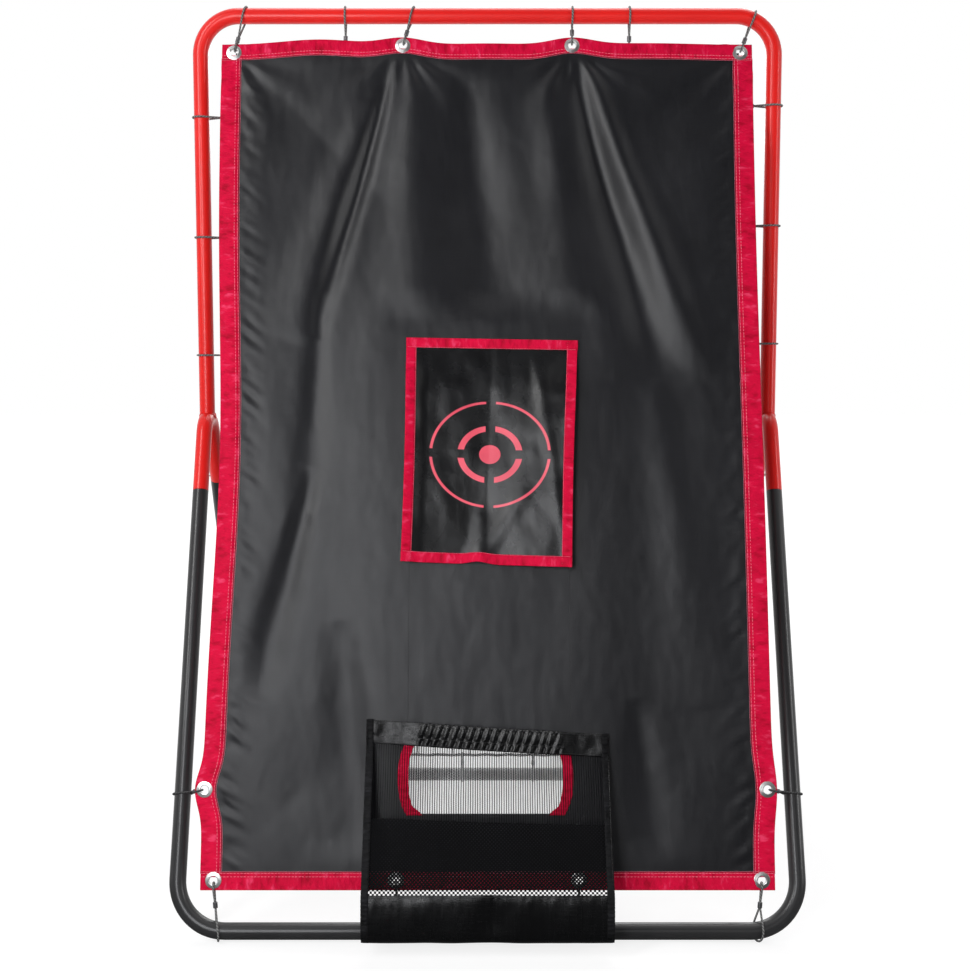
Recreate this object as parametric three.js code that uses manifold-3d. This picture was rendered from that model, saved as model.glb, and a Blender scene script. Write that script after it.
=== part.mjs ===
// A free-standing chipping net: a black sheet with a bullseye flap over a hole, a ball
// chute and a ball pocket, tied with a rebound net into a frame of round steel tube.
// Millimetres, +Z up, seen from the -Y side.

import * as THREE from 'three';
import { mergeVertices } from 'three/addons/utils/BufferGeometryUtils.js';
import Module from 'manifold-3d';

const wasm = await Module();
wasm.setup();

// Tube frame. Distances called "from the apex" run along a leg or along the upper frame.
const tubeDiameter = 32;
const tubeWall = 1.5;
const tubeSides = 16;
const frameWidth = 1187; // between the centre lines of the two sides
const apexHeight = 1030; // where the three tube axes of a side bracket meet
const legSpread = 429; // from the apex to a floor bar, front or back
const upperRise = 759; // from the apex up to the top bar
const upperSetback = 32; // the top bar stands this far behind the apex
const topCornerRadius = 80;
const footCornerRadius = 95;
const bracketBendRadius = 45;
const bendSteps = 4;
const legJoint = 231; // from the apex to the joint of a leg
const upperJoint = 88; // from the apex to the joint of the upper frame
const buttEnds = 0.3; // gap between two tube ends that butt together
const footLift = 4; // the floor bars stand on the cords tied round them
const mergeReach = 0.02; // edges and slivers below this are merged away
const cutOverrun = 1; // cutting tools run past the faces that they open

// Swaged necks and their snap buttons
const neckLength = 60;
const neckFit = 0.3;
const neckOverlap = 8;
const neckSides = 12;
const buttonDiameter = 8;
const buttonFit = 0.3;
const buttonSetback = 12; // from the joint, inside the socket
const buttonProud = 3;
const buttonTravel = 4.8;
const springWidth = 9;
const springThickness = 0.8;
const springLength = 34;

// Sheet, as it was cut, and how it hangs
const sheetSideGap = 32.5; // from the sheet to the tubes beside it
const sheetWidth = frameWidth - tubeDiameter - 2 * sheetSideGap;
const sheetLength = 1686;
const sheetThickness = 1;
const sheetTopHeight = 1727.3;
const sheetTopSetback = 15.2;
const sheetTilt = THREE.MathUtils.degToRad(14.87);
const sideHemWidth = 40;
const endHemWidth = 34;
const hemLeaf = 0.8;
const clothGap = 0.3;

// Grommets
const grommetFlange = 31;
const grommetHole = 16;
const grommetWall = 1.2;
const grommetLeaf = 0.7;
const grommetInset = 17; // from the edge of the sheet to the middle of the grommet
const cornerInset = 24; // from the side of the sheet to the corner grommets
const cornerGrommet = sheetWidth / 2 - cornerInset; // from the middle of the sheet
const innerGrommet = 174;
const sideGrommetRise = 186; // above the bottom edge
const sideGrommetDrop = sheetLength - sideGrommetRise; // below the top edge

// Ties of round cord
const cordDiameter = 4;
const cordSides = 5;
const arcSteps = 6; // round a tube
const cordGap = 0.6;
const crimpDiameter = 9.4;
const crimpLength = 11;
const topTieShifts = [20, 18, 1, 26]; // how far right of its grommet a tie goes round its bar
const footTieShifts = [8, 4, -2, -8];
const footTwist = 0.3; // turns the loops near the corners askew, in radians
const sideTieDrop = 6; // a side tie goes round the leg this much below the grommet
const topCrimp = 29; // from the grommet
const sideCrimp = 28; // from the grommet
const footCrimp = 48; // from the middle of the bar

// Target flap over its hole
const flapWidth = 334;
const flapHeight = 448;
const flapDrop = 620; // below the top edge of the sheet
const flapMiddle = 3; // the flap, hole and chute hang a little to the right
const flapThickness = 0.8;
const flapBinding = 21;
const bindingLeaf = 0.7;
const holeWidth = 280;
const holeHeight = 380;

// Chute behind the sheet and the window that it ends in
const chuteWidth = 340;
const chuteFlange = 12;
const chuteDepth = 66;
const chuteTop = 600;
const chuteFootRise = 94; // above the bottom edge of the sheet
const chuteBottom = sheetLength - chuteFootRise;
const chuteTopTaper = 75; // below its top the chute has its full depth, and above its foot
const chuteFootTaper = 110;
const chuteThickness = 1.2;
const chuteFlatness = 8; // the higher, the flatter the back of the chute between its sides
const windowWidth = 270;
const windowHeight = 135;
const windowMiddle = -4;
const windowRise = 208; // from the bottom edge of the sheet to the middle of the window
const windowDrop = sheetLength - windowRise;
const windowBow = 15;
const windowBinding = 18;
const windowTape = 1;

// Ball pocket, in distances in front of the sheet and below its top edge
const pocketWidth = 464;
const pocketRise = 304; // from the bottom edge of the sheet to the middle of the top band
const pocketTop = sheetLength - pocketRise;
const pocketSkew = 14; // the left end hangs this much higher, the right end lower
const pocketBand = 44;
const pocketMouth = 22; // how far the gathered middle of the band stands out
const pocketCloth = 1.2;
const pocketTape = 20;
const pocketSeam = { out: 88, belowSheet: 2 };
const pocketToe = { out: 68, belowSeam: 82 };
const pocketHeel = { out: 19, belowSeam: 69 };
const pocketBackTop = { out: 30, belowSeam: 28 };

// Rebound net behind the sheet
const netSideGap = 55.5; // from the net to the tubes beside it
const netWidth = frameWidth - tubeDiameter - 2 * netSideGap;
const netBorder = 8;
const netCord = 3;
const netThickness = 4;
const netColumns = 8;
const netRows = 14;
const netTopGap = 77; // from the top bar to the border of the net
const netFootGap = 62; // from the rear bar to the border of the net
const netKnee = 40; // above the apex, where the net turns back to the rear bar
const netSideTies = [63, 308, 554]; // above the apex, on the left
const netTieStep = 24; // the ties on the right are this much higher
const netTopTies = [-293, 293];
const netFootTies = [-240, -62, 116, 294];
const netCrimp = 46; // from the middle of the tube
const netFootCrimp = 38;

const red = new THREE.MeshStandardMaterial({ color: 0xe22f28, roughness: 0.35, metalness: 0.2 });
const black = new THREE.MeshStandardMaterial({ color: 0x2b2b2c, roughness: 0.35, metalness: 0.2 });
const zinc = new THREE.MeshStandardMaterial({ color: 0xc9c9c6, roughness: 0.3, metalness: 1 });
const sheetCloth = new THREE.MeshStandardMaterial({ color: 0x26272b, roughness: 0.55 });
const redCloth = new THREE.MeshStandardMaterial({ color: 0xd01840, roughness: 0.5 });
const blackMesh = new THREE.MeshStandardMaterial({ color: 0x101012, roughness: 0.7 });
const paleMesh = new THREE.MeshStandardMaterial({ color: 0xdededa, roughness: 0.8 });
const cordGrey = new THREE.MeshStandardMaterial({ color: 0x6d6e70, roughness: 0.6 });
const netGrey = new THREE.MeshStandardMaterial({ color: 0x3a3a3c, roughness: 0.8 });

const tubeRadius = tubeDiameter / 2;
const boreRadius = tubeRadius - tubeWall;
const neckRadius = boreRadius - neckFit;
const neckBore = neckRadius - tubeWall;
const halfFrame = frameWidth / 2;
const legDrop = apexHeight - tubeRadius - footLift;
const legTurn = Math.atan2(legSpread, legDrop);
const legLength = Math.hypot(legSpread, legDrop);
const upperTurn = Math.PI - Math.atan2(upperSetback, upperRise);
const upperLength = Math.hypot(upperRise, upperSetback);
const apex = new THREE.Vector3(0, 0, apexHeight);
const xAxis = new THREE.Vector3(1, 0, 0);
const yAxis = new THREE.Vector3(0, 1, 0);

const model = new THREE.Group();

function addMesh(name, geometry, material, parent = model) {
  const mesh = new THREE.Mesh(geometry, material);
  mesh.name = name;
  parent.add(mesh);
  return mesh;
}

function toSolid(geometry) {
  const bare = geometry.clone();
  bare.deleteAttribute('normal');
  bare.deleteAttribute('uv');
  const merged = mergeVertices(bare, 1e-4);
  const vertProperties = new Float32Array(merged.attributes.position.array);
  const triVerts = new Uint32Array(merged.index.array);
  return new wasm.Manifold(new wasm.Mesh({ numProp: 3, vertProperties, triVerts }));
}

function toGeometry(solid) {
  const mesh = solid.simplify(mergeReach).getMesh();
  const geometry = new THREE.BufferGeometry();
  geometry.setAttribute('position', new THREE.BufferAttribute(mesh.vertProperties, 3));
  geometry.setIndex(new THREE.BufferAttribute(mesh.triVerts, 1));
  geometry.computeVertexNormals();
  return geometry;
}

function join(geometries) {
  return geometries.map(toSolid).reduce((sum, solid) => sum.add(solid));
}

function cutAway(solid, geometries) {
  return geometries.reduce((rest, tool) => rest.subtract(toSolid(tool)), solid);
}

// A regular polygon whose flats, not its corners, lie at the radius
function polygonPoints(radius, sides, turn = 0) {
  const corner = radius / Math.cos(Math.PI / sides);
  return Array.from({ length: sides }, (_, k) => {
    const angle = turn + ((k + 0.5) * 2 * Math.PI) / sides;
    return new THREE.Vector2(corner * Math.cos(angle), corner * Math.sin(angle));
  });
}

// A curve that gives out chosen places, so that straight runs need no steps
class StationCurve extends THREE.Curve {
  constructor(stations) {
    super();
    this.stations = stations;
  }

  station(t) {
    return this.stations[Math.round(t * (this.stations.length - 1))];
  }

  getPointAt(t) {
    return this.station(t).point.clone();
  }

  getTangentAt(t) {
    return this.station(t).tangent.clone();
  }
}

// Straight runs between corner points, with an arc of the given radius at each corner
function bentRoute(points, radius) {
  const stations = [];
  const directions = points.slice(1).map((p, k) => p.clone().sub(points[k]).normalize());
  stations.push({ point: points[0], tangent: directions[0] });
  for (let k = 1; k < points.length - 1; k += 1) {
    const before = directions[k - 1];
    const after = directions[k];
    const turn = before.angleTo(after);
    const axis = before.clone().cross(after).normalize();
    const start = points[k].clone().addScaledVector(before, -radius * Math.tan(turn / 2));
    const centre = start.clone().addScaledVector(axis.clone().cross(before), radius);
    for (let step = 0; step <= bendSteps; step += 1) {
      const angle = (turn * step) / bendSteps;
      const arm = start.clone().sub(centre).applyAxisAngle(axis, angle);
      const tangent = before.clone().applyAxisAngle(axis, angle);
      stations.push({ point: centre.clone().add(arm), tangent });
    }
  }
  stations.push({ point: points[points.length - 1], tangent: directions[directions.length - 1] });
  return stations;
}

function sweep(stations, shape) {
  return new THREE.ExtrudeGeometry(shape, {
    steps: stations.length - 1,
    extrudePath: new StationCurve(stations),
  });
}

function tubeAlong(points, radius, turn) {
  const ring = new THREE.Shape(polygonPoints(tubeRadius, tubeSides, turn));
  const boreFlats = boreRadius * Math.cos((2 * Math.PI) / tubeSides);
  ring.holes.push(new THREE.Path(polygonPoints(boreFlats, tubeSides / 2, turn)));
  return sweep(bentRoute(points, radius), ring);
}

function revolve(profile, segments) {
  return new THREE.LatheGeometry(profile.map(([r, y]) => new THREE.Vector2(r, y)), segments);
}

// A round rod along X, to cut button holes with
function buttonHoleTool(facing, x, z) {
  const depth = tubeDiameter;
  const tool = new THREE.CylinderGeometry(
    buttonDiameter / 2 + 2 * buttonFit, buttonDiameter / 2 + 2 * buttonFit, depth, 8);
  tool.rotateZ(Math.PI / 2);
  tool.translate(depth / 2, 0, 0);
  tool.rotateZ(facing);
  tool.translate(x, 0, z);
  return tool;
}

// One U of the frame, hanging from the apex along -Z, with a swaged neck on each end
function frameU(length, joint, cornerRadius, turn, facings) {
  const start = -(joint + buttEnds);
  const tube = tubeAlong([
    new THREE.Vector3(-halfFrame, 0, start),
    new THREE.Vector3(-halfFrame, 0, -length),
    new THREE.Vector3(halfFrame, 0, -length),
    new THREE.Vector3(halfFrame, 0, start),
  ], cornerRadius, turn);
  const collar = tubeRadius - tubeWall / 2;
  const necks = [-halfFrame, halfFrame].map((x) => {
    const neck = revolve([
      [neckBore, -neckOverlap], [collar, -neckOverlap], [collar, -1],
      [neckRadius, -1], [neckRadius, neckLength - 2], [neckRadius - 1, neckLength],
      [neckBore, neckLength], [neckBore, -neckOverlap],
    ], neckSides);
    neck.rotateX(Math.PI / 2);
    neck.translate(x, 0, start);
    return neck;
  });
  const holes = [-halfFrame, halfFrame].map((x, side) => (
    buttonHoleTool(facings[side], x, buttonSetback - joint)));
  return toGeometry(cutAway(join([tube, ...necks]), holes));
}

// A snap button on its folded leaf spring: the stem points along +X at the origin
function snapButton() {
  const flats = neckBore * Math.cos(Math.PI / neckSides);
  const plate = Math.sqrt(flats ** 2 - (springWidth / 2) ** 2) - buttonFit;
  const tip = tubeRadius + buttonProud;
  const stem = revolve([
    [0, plate - springThickness / 2], [buttonDiameter / 2, plate - springThickness / 2],
    [buttonDiameter / 2, tip - 1.4], [buttonDiameter / 2 - 1.2, tip - 0.3], [0, tip],
  ], 8);
  stem.rotateZ(-Math.PI / 2);
  const far = -(plate - buttonTravel);
  const low = buttonDiameter;
  const bend = low - springLength;
  const t = springThickness;
  const outline = new THREE.Shape([
    [plate, low], [plate - t, low], [plate - t, -low], [4, bend + t], [2, bend + t],
    [far + t, low], [far, low], [1.4, bend], [4.6, bend], [plate, -low],
  ].map(([x, y]) => new THREE.Vector2(x, y)));
  const spring = new THREE.ExtrudeGeometry(outline, { depth: springWidth, bevelEnabled: false });
  spring.translate(0, 0, -springWidth / 2);
  spring.rotateX(Math.PI / 2);
  return toGeometry(join([stem, spring]));
}

function addFrameU(name, turnFromDown, length, joint, cornerRadius, facings, material) {
  const group = new THREE.Group();
  group.position.copy(apex);
  group.rotation.x = turnFromDown;
  // Turns the flats of the section so that one of them faces the floor along the bar
  const flatTurn = Math.PI / 2 + turnFromDown;
  const geometry = frameU(length, joint, cornerRadius, flatTurn, facings);
  addMesh(name, geometry, material, group);
  ['left', 'right'].forEach((side, k) => {
    const button = addMesh(`${side}_${name}_button`, snapButton(), zinc, group);
    button.position.set(k ? halfFrame : -halfFrame, 0, buttonSetback - joint);
    button.rotation.z = facings[k];
  });
  model.add(group);
}

// A point on the axis of a U: sideways place and distance from the apex
function onFrame(turnFromDown, x, distance) {
  return new THREE.Vector3(x, 0, -distance).applyAxisAngle(xAxis, turnFromDown).add(apex);
}

// The welded bracket of one side: a bent tube for both legs with the upper socket on top
function bracket(x) {
  const bentTube = (radius, extra) => sweep(bentRoute([
    onFrame(-legTurn, x, legJoint + extra),
    new THREE.Vector3(x, 0, apexHeight),
    onFrame(legTurn, x, legJoint + extra),
  ], bracketBendRadius), new THREE.Shape(polygonPoints(radius, tubeSides)));
  const socketTube = (radius, bottom, top) => {
    const corner = radius / Math.cos(Math.PI / tubeSides);
    const tube = new THREE.CylinderGeometry(corner, corner, top - bottom, tubeSides);
    tube.rotateX(Math.PI / 2);
    tube.translate(0, 0, -(bottom + top) / 2);
    tube.rotateX(upperTurn);
    tube.translate(x, 0, apexHeight);
    return tube;
  };
  // The middle of the bend lies this far below the apex
  const bendDrop = bracketBendRadius / Math.sin(legTurn) - bracketBendRadius;
  const outside = x < 0 ? Math.PI : 0;
  const holes = [
    [-legTurn, legJoint, Math.PI / 2],
    [legTurn, legJoint, outside],
    [upperTurn, upperJoint, -Math.PI / 2],
  ].map(([turn, joint, facing]) => {
    const tool = buttonHoleTool(facing, x, buttonSetback - joint);
    tool.rotateX(turn);
    tool.translate(0, 0, apexHeight);
    return tool;
  });
  const shell = join([bentTube(tubeRadius, 0), socketTube(tubeRadius, -bendDrop, upperJoint)]);
  return toGeometry(cutAway(shell, [
    bentTube(boreRadius, cutOverrun),
    socketTube(boreRadius, tubeRadius - bendDrop, upperJoint + cutOverrun),
    ...holes,
  ]));
}

addFrameU('front_legs', -legTurn, legLength, legJoint, footCornerRadius,
  [Math.PI / 2, Math.PI / 2], black);
addFrameU('rear_legs', legTurn, legLength, legJoint, footCornerRadius, [Math.PI, 0], black);
addFrameU('upper_frame', upperTurn, upperLength, upperJoint, topCornerRadius,
  [-Math.PI / 2, -Math.PI / 2], red);
addMesh('left_bracket', bracket(-halfFrame), red);
addMesh('right_bracket', bracket(halfFrame), red);

// The sheet hangs in a tilted frame of its own: X across, Z up along the cloth from the
// middle of its top edge, -Y out towards the player
const sheet = new THREE.Group();
sheet.position.set(0, sheetTopSetback, sheetTopHeight);
sheet.rotation.x = -sheetTilt;
sheet.updateMatrixWorld(true);
model.add(sheet);

const halfSheet = sheetWidth / 2;
const smooth = THREE.MathUtils.smoothstep;
const bump = (distance, spread) => Math.exp(-((distance / spread) ** 2));

const range = (low, high, count) => (
  Array.from({ length: count + 1 }, (_, k) => low + ((high - low) * k) / count));
const sideEdge = halfSheet - sideHemWidth;
const stripEdge = chuteWidth / 2 + 12;
const stripTop = chuteTop - 12;

// Main folds, as lines down the cloth from [across, drop] to [across, drop]. A depth above
// zero is a valley, one below zero a ridge.
const folds = [
  { from: [-192, 40], to: [-352, 610], depth: 15, spread: 22 },
  { from: [-352, 880], to: [-455, 1330], depth: 12, spread: 30 },
  { from: [-165, 50], to: [-140, 700], depth: -11, spread: 50 },
  { from: [-48, 50], to: [28, 720], depth: 15, spread: 52 },
  { from: [118, 50], to: [200, 700], depth: -12, spread: 46 },
  { from: [172, 40], to: [352, 700], depth: 16, spread: 30 },
  { from: [200, 40], to: [440, 700], depth: -13, spread: 30 },
  { from: [-290, 1180], to: [-240, 1640], depth: 9, spread: 46 },
];
const clothSag = 16;

function foldDepth({ from, to, depth, spread }, u, drop) {
  const along = [to[0] - from[0], to[1] - from[1]];
  const length = Math.hypot(...along);
  const [x, y] = [u - from[0], drop - from[1]];
  const t = (x * along[0] + y * along[1]) / length ** 2;
  if (t <= 0 || t >= 1) return 0;
  const distance = (x * along[1] - y * along[0]) / length;
  return depth * Math.sin(Math.PI * t) ** 0.6 * bump(distance, spread * (0.6 + t));
}

// Where a point of the cut cloth hangs. The flap, chute and pocket keep their strip flat.
function hang(u, drop) {
  const inset = Math.min(halfSheet - Math.abs(u) - sideHemWidth,
    drop - endHemWidth, sheetLength - endHemWidth - drop);
  const beside = Math.hypot(
    Math.max(Math.abs(u - flapMiddle) - stripEdge, 0), Math.max(stripTop - drop, 0));
  const free = smooth(inset, 0, 70) * smooth(beside, 0, 80);
  const sag = clothSag * smooth(inset, 0, 330) * smooth(beside, 0, 300);
  const sum = folds.reduce((total, fold) => total + foldDepth(fold, u, drop), 0);
  const pull = u < 0
    ? 17 * bump(drop - 850, 380) - 15 * bump(drop - sideGrommetDrop, 45)
    : -4 * bump(drop - 400, 420) + 8 * bump(drop - sideGrommetDrop, 60);
  const lift = 15 * (bump(u + innerGrommet, 60) + bump(u - innerGrommet, 60)) + 3 * bump(u, 90);
  const nearSide = smooth(Math.abs(u), halfSheet - 300, halfSheet - sideHemWidth);
  return new THREE.Vector3(
    u + pull * nearSide,
    Math.max(sag + sum * free, 0),
    -drop + lift * (1 - smooth(drop, endHemWidth, 260)),
  );
}

// A closed sheet of the given thickness over a grid of places, given as rows of points
function slabGeometry(rows, thickness, normal = new THREE.Vector3(0, -1, 0)) {
  const across = rows[0].length;
  const layer = rows.length * across;
  const half = normal.clone().multiplyScalar(thickness / 2);
  const points = rows.flat();
  const all = [...points.map((p) => p.clone().add(half)), ...points.map((p) => p.clone().sub(half))];
  const index = [];
  const quad = (a, b, c, d) => index.push(a, b, c, a, c, d);
  const at = (row, column) => row * across + column;
  for (let row = 0; row < rows.length - 1; row += 1) {
    for (let column = 0; column < across - 1; column += 1) {
      const [a, b] = [at(row, column), at(row, column + 1)];
      const [c, d] = [at(row + 1, column + 1), at(row + 1, column)];
      quad(a, d, c, b);
      quad(layer + a, layer + b, layer + c, layer + d);
    }
  }
  const rim = [];
  for (let c = 0; c < across - 1; c += 1) rim.push(at(0, c));
  for (let r = 0; r < rows.length - 1; r += 1) rim.push(at(r, across - 1));
  for (let c = across - 1; c > 0; c -= 1) rim.push(at(rows.length - 1, c));
  for (let r = rows.length - 1; r > 0; r -= 1) rim.push(at(r, 0));
  rim.forEach((a, k) => {
    const b = rim[(k + 1) % rim.length];
    quad(a, b, layer + b, layer + a);
  });
  return indexed(all, index);
}

function indexed(points, index) {
  const geometry = new THREE.BufferGeometry();
  geometry.setFromPoints(points);
  geometry.setIndex(index);
  geometry.computeVertexNormals();
  return geometry;
}

// A closed outline carried through a list of places, each giving the outline's corners
function loft(sections, outline) {
  const corners = sections[0].length;
  const index = [];
  sections.slice(1).forEach((_, k) => {
    for (let c = 0; c < corners; c += 1) {
      const next = (c + 1) % corners;
      const [a, b] = [k * corners + c, k * corners + next];
      index.push(a, b + corners, b, a, a + corners, b + corners);
    }
  });
  const last = (sections.length - 1) * corners;
  const cap = THREE.ShapeUtils.triangulateShape(outline, []);
  cap.forEach(([a, b, c]) => {
    index.push(a, b, c);
    index.push(last + c, last + b, last + a);
  });
  return indexed(sections.flat(), index);
}

const acrossStations = [
  -halfSheet, ...range(-sideEdge, flapMiddle - stripEdge, 4),
  ...range(flapMiddle - stripEdge, flapMiddle + stripEdge, 4).slice(1),
  ...range(flapMiddle + stripEdge, sideEdge, 4).slice(1), halfSheet,
];
const downStations = [
  0, ...range(endHemWidth, stripTop, 8),
  ...range(stripTop, sideGrommetDrop - 60, 7).slice(1),
  sideGrommetDrop, sideGrommetDrop + 60, sheetLength - endHemWidth, sheetLength,
];

// Places of the grommets on the cut cloth: [name, across, drop, which way the edge lies]
const bottomDrop = sheetLength - grommetInset;
const grommetPlaces = [
  ['top_1', -cornerGrommet, grommetInset], ['top_2', -innerGrommet, grommetInset],
  ['top_3', innerGrommet, grommetInset], ['top_4', cornerGrommet, grommetInset],
  ['left', grommetInset - halfSheet, sideGrommetDrop],
  ['right', halfSheet - grommetInset, sideGrommetDrop],
  ['bottom_1', -cornerGrommet, bottomDrop], ['bottom_2', -innerGrommet, bottomDrop],
  ['bottom_3', innerGrommet, bottomDrop], ['bottom_4', cornerGrommet, bottomDrop],
];
const barrelRadius = grommetHole / 2 + grommetWall;
const barrelCut = (barrelRadius + clothGap) / Math.cos(Math.PI / 6);
const barrelTools = grommetPlaces.map(([, u, drop]) => {
  const tool = new THREE.CylinderGeometry(barrelCut, barrelCut, 20, 6);
  const place = hang(u, drop);
  return tool.translate(place.x, place.y, place.z);
});

// The window's outline, with sides that bow outwards
function windowShape() {
  const [half, rise, control] = [windowWidth / 2, windowHeight / 2, windowWidth / 2 + 2 * windowBow];
  const shape = new THREE.Shape();
  shape.moveTo(-half, -rise);
  shape.lineTo(half, -rise);
  shape.quadraticCurveTo(control, 0, half, rise);
  shape.lineTo(-half, rise);
  shape.quadraticCurveTo(-control, 0, -half, -rise);
  return shape;
}

// The tape along one side of the window, on the cloth outside the bowed edge
function windowTapeShape(side) {
  const [half, rise, control] = [windowWidth / 2, windowHeight / 2, windowWidth / 2 + 2 * windowBow];
  const shape = new THREE.Shape();
  shape.moveTo(side * half, -rise);
  shape.quadraticCurveTo(side * control, 0, side * half, rise);
  shape.lineTo(side * (half + windowBinding), rise);
  shape.quadraticCurveTo(side * (control + windowBinding), 0, side * (half + windowBinding), -rise);
  return shape;
}

// A shape drawn across the sheet, given a thickness in front of a distance `out`
function onSheet(shape, thickness, out, x, drop, curveSegments = 6) {
  const geometry = new THREE.ExtrudeGeometry(shape, {
    depth: thickness, bevelEnabled: false, curveSegments,
  });
  geometry.rotateX(Math.PI / 2);
  return geometry.translate(x, -out, -drop);
}

function rectangle(width, height) {
  const [w, h] = [width / 2, height / 2];
  return new THREE.Shape([[-w, -h], [w, -h], [w, h], [-w, h]].map(([x, y]) => new THREE.Vector2(x, y)));
}

const cutDepth = 60;
const flapCentre = flapDrop + flapHeight / 2;
const sheetRows = downStations.map((drop) => acrossStations.map((u) => hang(u, drop)));
const sheetSolid = cutAway(toSolid(slabGeometry(sheetRows, sheetThickness)), [
  onSheet(rectangle(holeWidth, holeHeight), cutDepth, -cutDepth / 2, flapMiddle, flapCentre),
  onSheet(windowShape(), cutDepth, -cutDepth / 2, windowMiddle, windowDrop),
  ...barrelTools,
]);
addMesh('net_sheet', toGeometry(sheetSolid), sheetCloth, sheet);

// A hem is folded tape: a C section, drawn as [distance in from the edge, distance out]
const leafFace = sheetThickness / 2 + clothGap;
const hemFace = leafFace + hemLeaf;
function hem(places, inward, width) {
  const outline = [
    [width, hemFace], [-clothGap - hemLeaf, hemFace], [-clothGap - hemLeaf, -hemFace],
    [width, -hemFace], [width, -leafFace], [-clothGap, -leafFace],
    [-clothGap, leafFace], [width, leafFace],
  ];
  const sections = places.map((place) => outline.map(([inset, out]) => (
    place.clone().addScaledVector(inward, inset).add(new THREE.Vector3(0, -out, 0)))));
  const flat = outline.map(([x, y]) => new THREE.Vector2(x, y));
  return toGeometry(cutAway(toSolid(loft(sections, flat)), barrelTools));
}

const wrap = clothGap + hemLeaf;
const overEnds = acrossStations.map((u) => hang(u, 0));
overEnds[0].x -= wrap;
overEnds[overEnds.length - 1].x += wrap;
const underEnds = acrossStations.map((u) => hang(u, sheetLength));
underEnds[0].x -= wrap;
underEnds[underEnds.length - 1].x += wrap;
const sideDrops = downStations.slice(1, -1);
sideDrops[0] += clothGap;
sideDrops[sideDrops.length - 1] -= clothGap;
const toRight = new THREE.Vector3(1, 0, 0);
const toTop = new THREE.Vector3(0, 0, 1);
addMesh('top_hem', hem(overEnds, toTop.clone().negate(), endHemWidth), redCloth, sheet);
addMesh('bottom_hem', hem(underEnds.reverse(), toTop, endHemWidth), redCloth, sheet);
addMesh('left_hem', hem(sideDrops.map((drop) => hang(-halfSheet, drop)).reverse(),
  toRight, sideHemWidth), redCloth, sheet);
addMesh('right_hem', hem(sideDrops.map((drop) => hang(halfSheet, drop)),
  toRight.clone().negate(), sideHemWidth), redCloth, sheet);

function grommet() {
  const seat = hemFace + clothGap;
  const face = seat + grommetLeaf;
  const [hole, edge] = [grommetHole / 2, grommetFlange / 2];
  const front = [[hole, face], [hole + 2, face + 0.6], [edge, seat + 0.2], [barrelRadius, seat]];
  return revolve([...front.map(([r, y]) => [r, -y]), ...front.reverse(), [hole, -face]], 10);
}

grommetPlaces.forEach(([name, u, drop]) => {
  addMesh(`grommet_${name}`, grommet(), zinc, sheet).position.copy(hang(u, drop));
});

// Flap over the hole, turning about the seam along its top edge
const flap = new THREE.Group();
const flapSeat = sheetThickness / 2 + cordGap;
const flapDepth = flapThickness + 2 * (clothGap + bindingLeaf);
flap.position.set(flapMiddle, -flapSeat, -flapDrop);
sheet.add(flap);
const panelWidth = flapWidth - 2 * (clothGap + bindingLeaf);
const panelHeight = flapHeight - 2 * (clothGap + bindingLeaf);
const panelOut = clothGap + bindingLeaf;
addMesh('target_flap', onSheet(rectangle(panelWidth, panelHeight), flapThickness, panelOut,
  0, flapHeight / 2), sheetCloth, flap);
const bindingShape = rectangle(flapWidth, flapHeight);
bindingShape.holes.push(rectangle(flapWidth - 2 * flapBinding, flapHeight - 2 * flapBinding));
const bindingSolid = toSolid(onSheet(bindingShape, flapDepth, 0, 0, flapHeight / 2));
addMesh('flap_binding', toGeometry(cutAway(bindingSolid, [
  onSheet(rectangle(panelWidth + 2 * clothGap, panelHeight + 2 * clothGap),
    flapThickness + 2 * clothGap, panelOut - clothGap, 0, flapHeight / 2),
])), redCloth, flap);

// Chute sewn behind the sheet, from behind the flap down to the window
const chuteHalf = chuteWidth / 2;
const chuteSeat = sheetThickness / 2 + clothGap + chuteThickness / 2;
const chuteLength = chuteBottom - chuteTop;
const chuteDrops = [
  0, ...range(chuteFlange, chuteTopTaper, 3),
  ...range(chuteTopTaper, chuteLength - chuteFootTaper, 3).slice(1),
  ...range(chuteLength - chuteFootTaper, chuteLength - chuteFlange, 3).slice(1), chuteLength,
];
const chuteSide = chuteFlange / chuteHalf - 1;
const chuteAcross = [-1, ...range(chuteSide, -chuteSide, 6), 1];
const chuteRows = chuteDrops.map((below) => chuteAcross.map((share) => {
  const q = Math.min(Math.abs(share / chuteSide), 1);
  const ends = smooth(below, 10, chuteTopTaper) * smooth(chuteLength - below, 8, chuteFootTaper);
  return new THREE.Vector3(flapMiddle + share * chuteHalf,
    chuteSeat + chuteDepth * (1 - q ** chuteFlatness) * ends, -(chuteTop + below));
}));
addMesh('return_chute', slabGeometry(chuteRows, chuteThickness), paleMesh, sheet);

const tapeSeat = sheetThickness / 2 + clothGap;
addMesh('window_tape_left', onSheet(windowTapeShape(-1), windowTape, tapeSeat,
  windowMiddle, windowDrop), redCloth, sheet);
addMesh('window_tape_right', onSheet(windowTapeShape(1), windowTape, tapeSeat,
  windowMiddle, windowDrop), redCloth, sheet);

// Ball pocket. Its profile is drawn as distance out from the sheet against drop.
const pocketHalf = pocketWidth / 2;
const profileToSheet = new THREE.Matrix4().makeBasis(
  new THREE.Vector3(0, -1, 0), new THREE.Vector3(0, 0, -1), new THREE.Vector3(1, 0, 0));

function alongX(shape, low, high) {
  const geometry = new THREE.ExtrudeGeometry(shape, { depth: high - low, bevelEnabled: false });
  return geometry.applyMatrix4(profileToSheet).translate(low, 0, 0);
}

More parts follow.
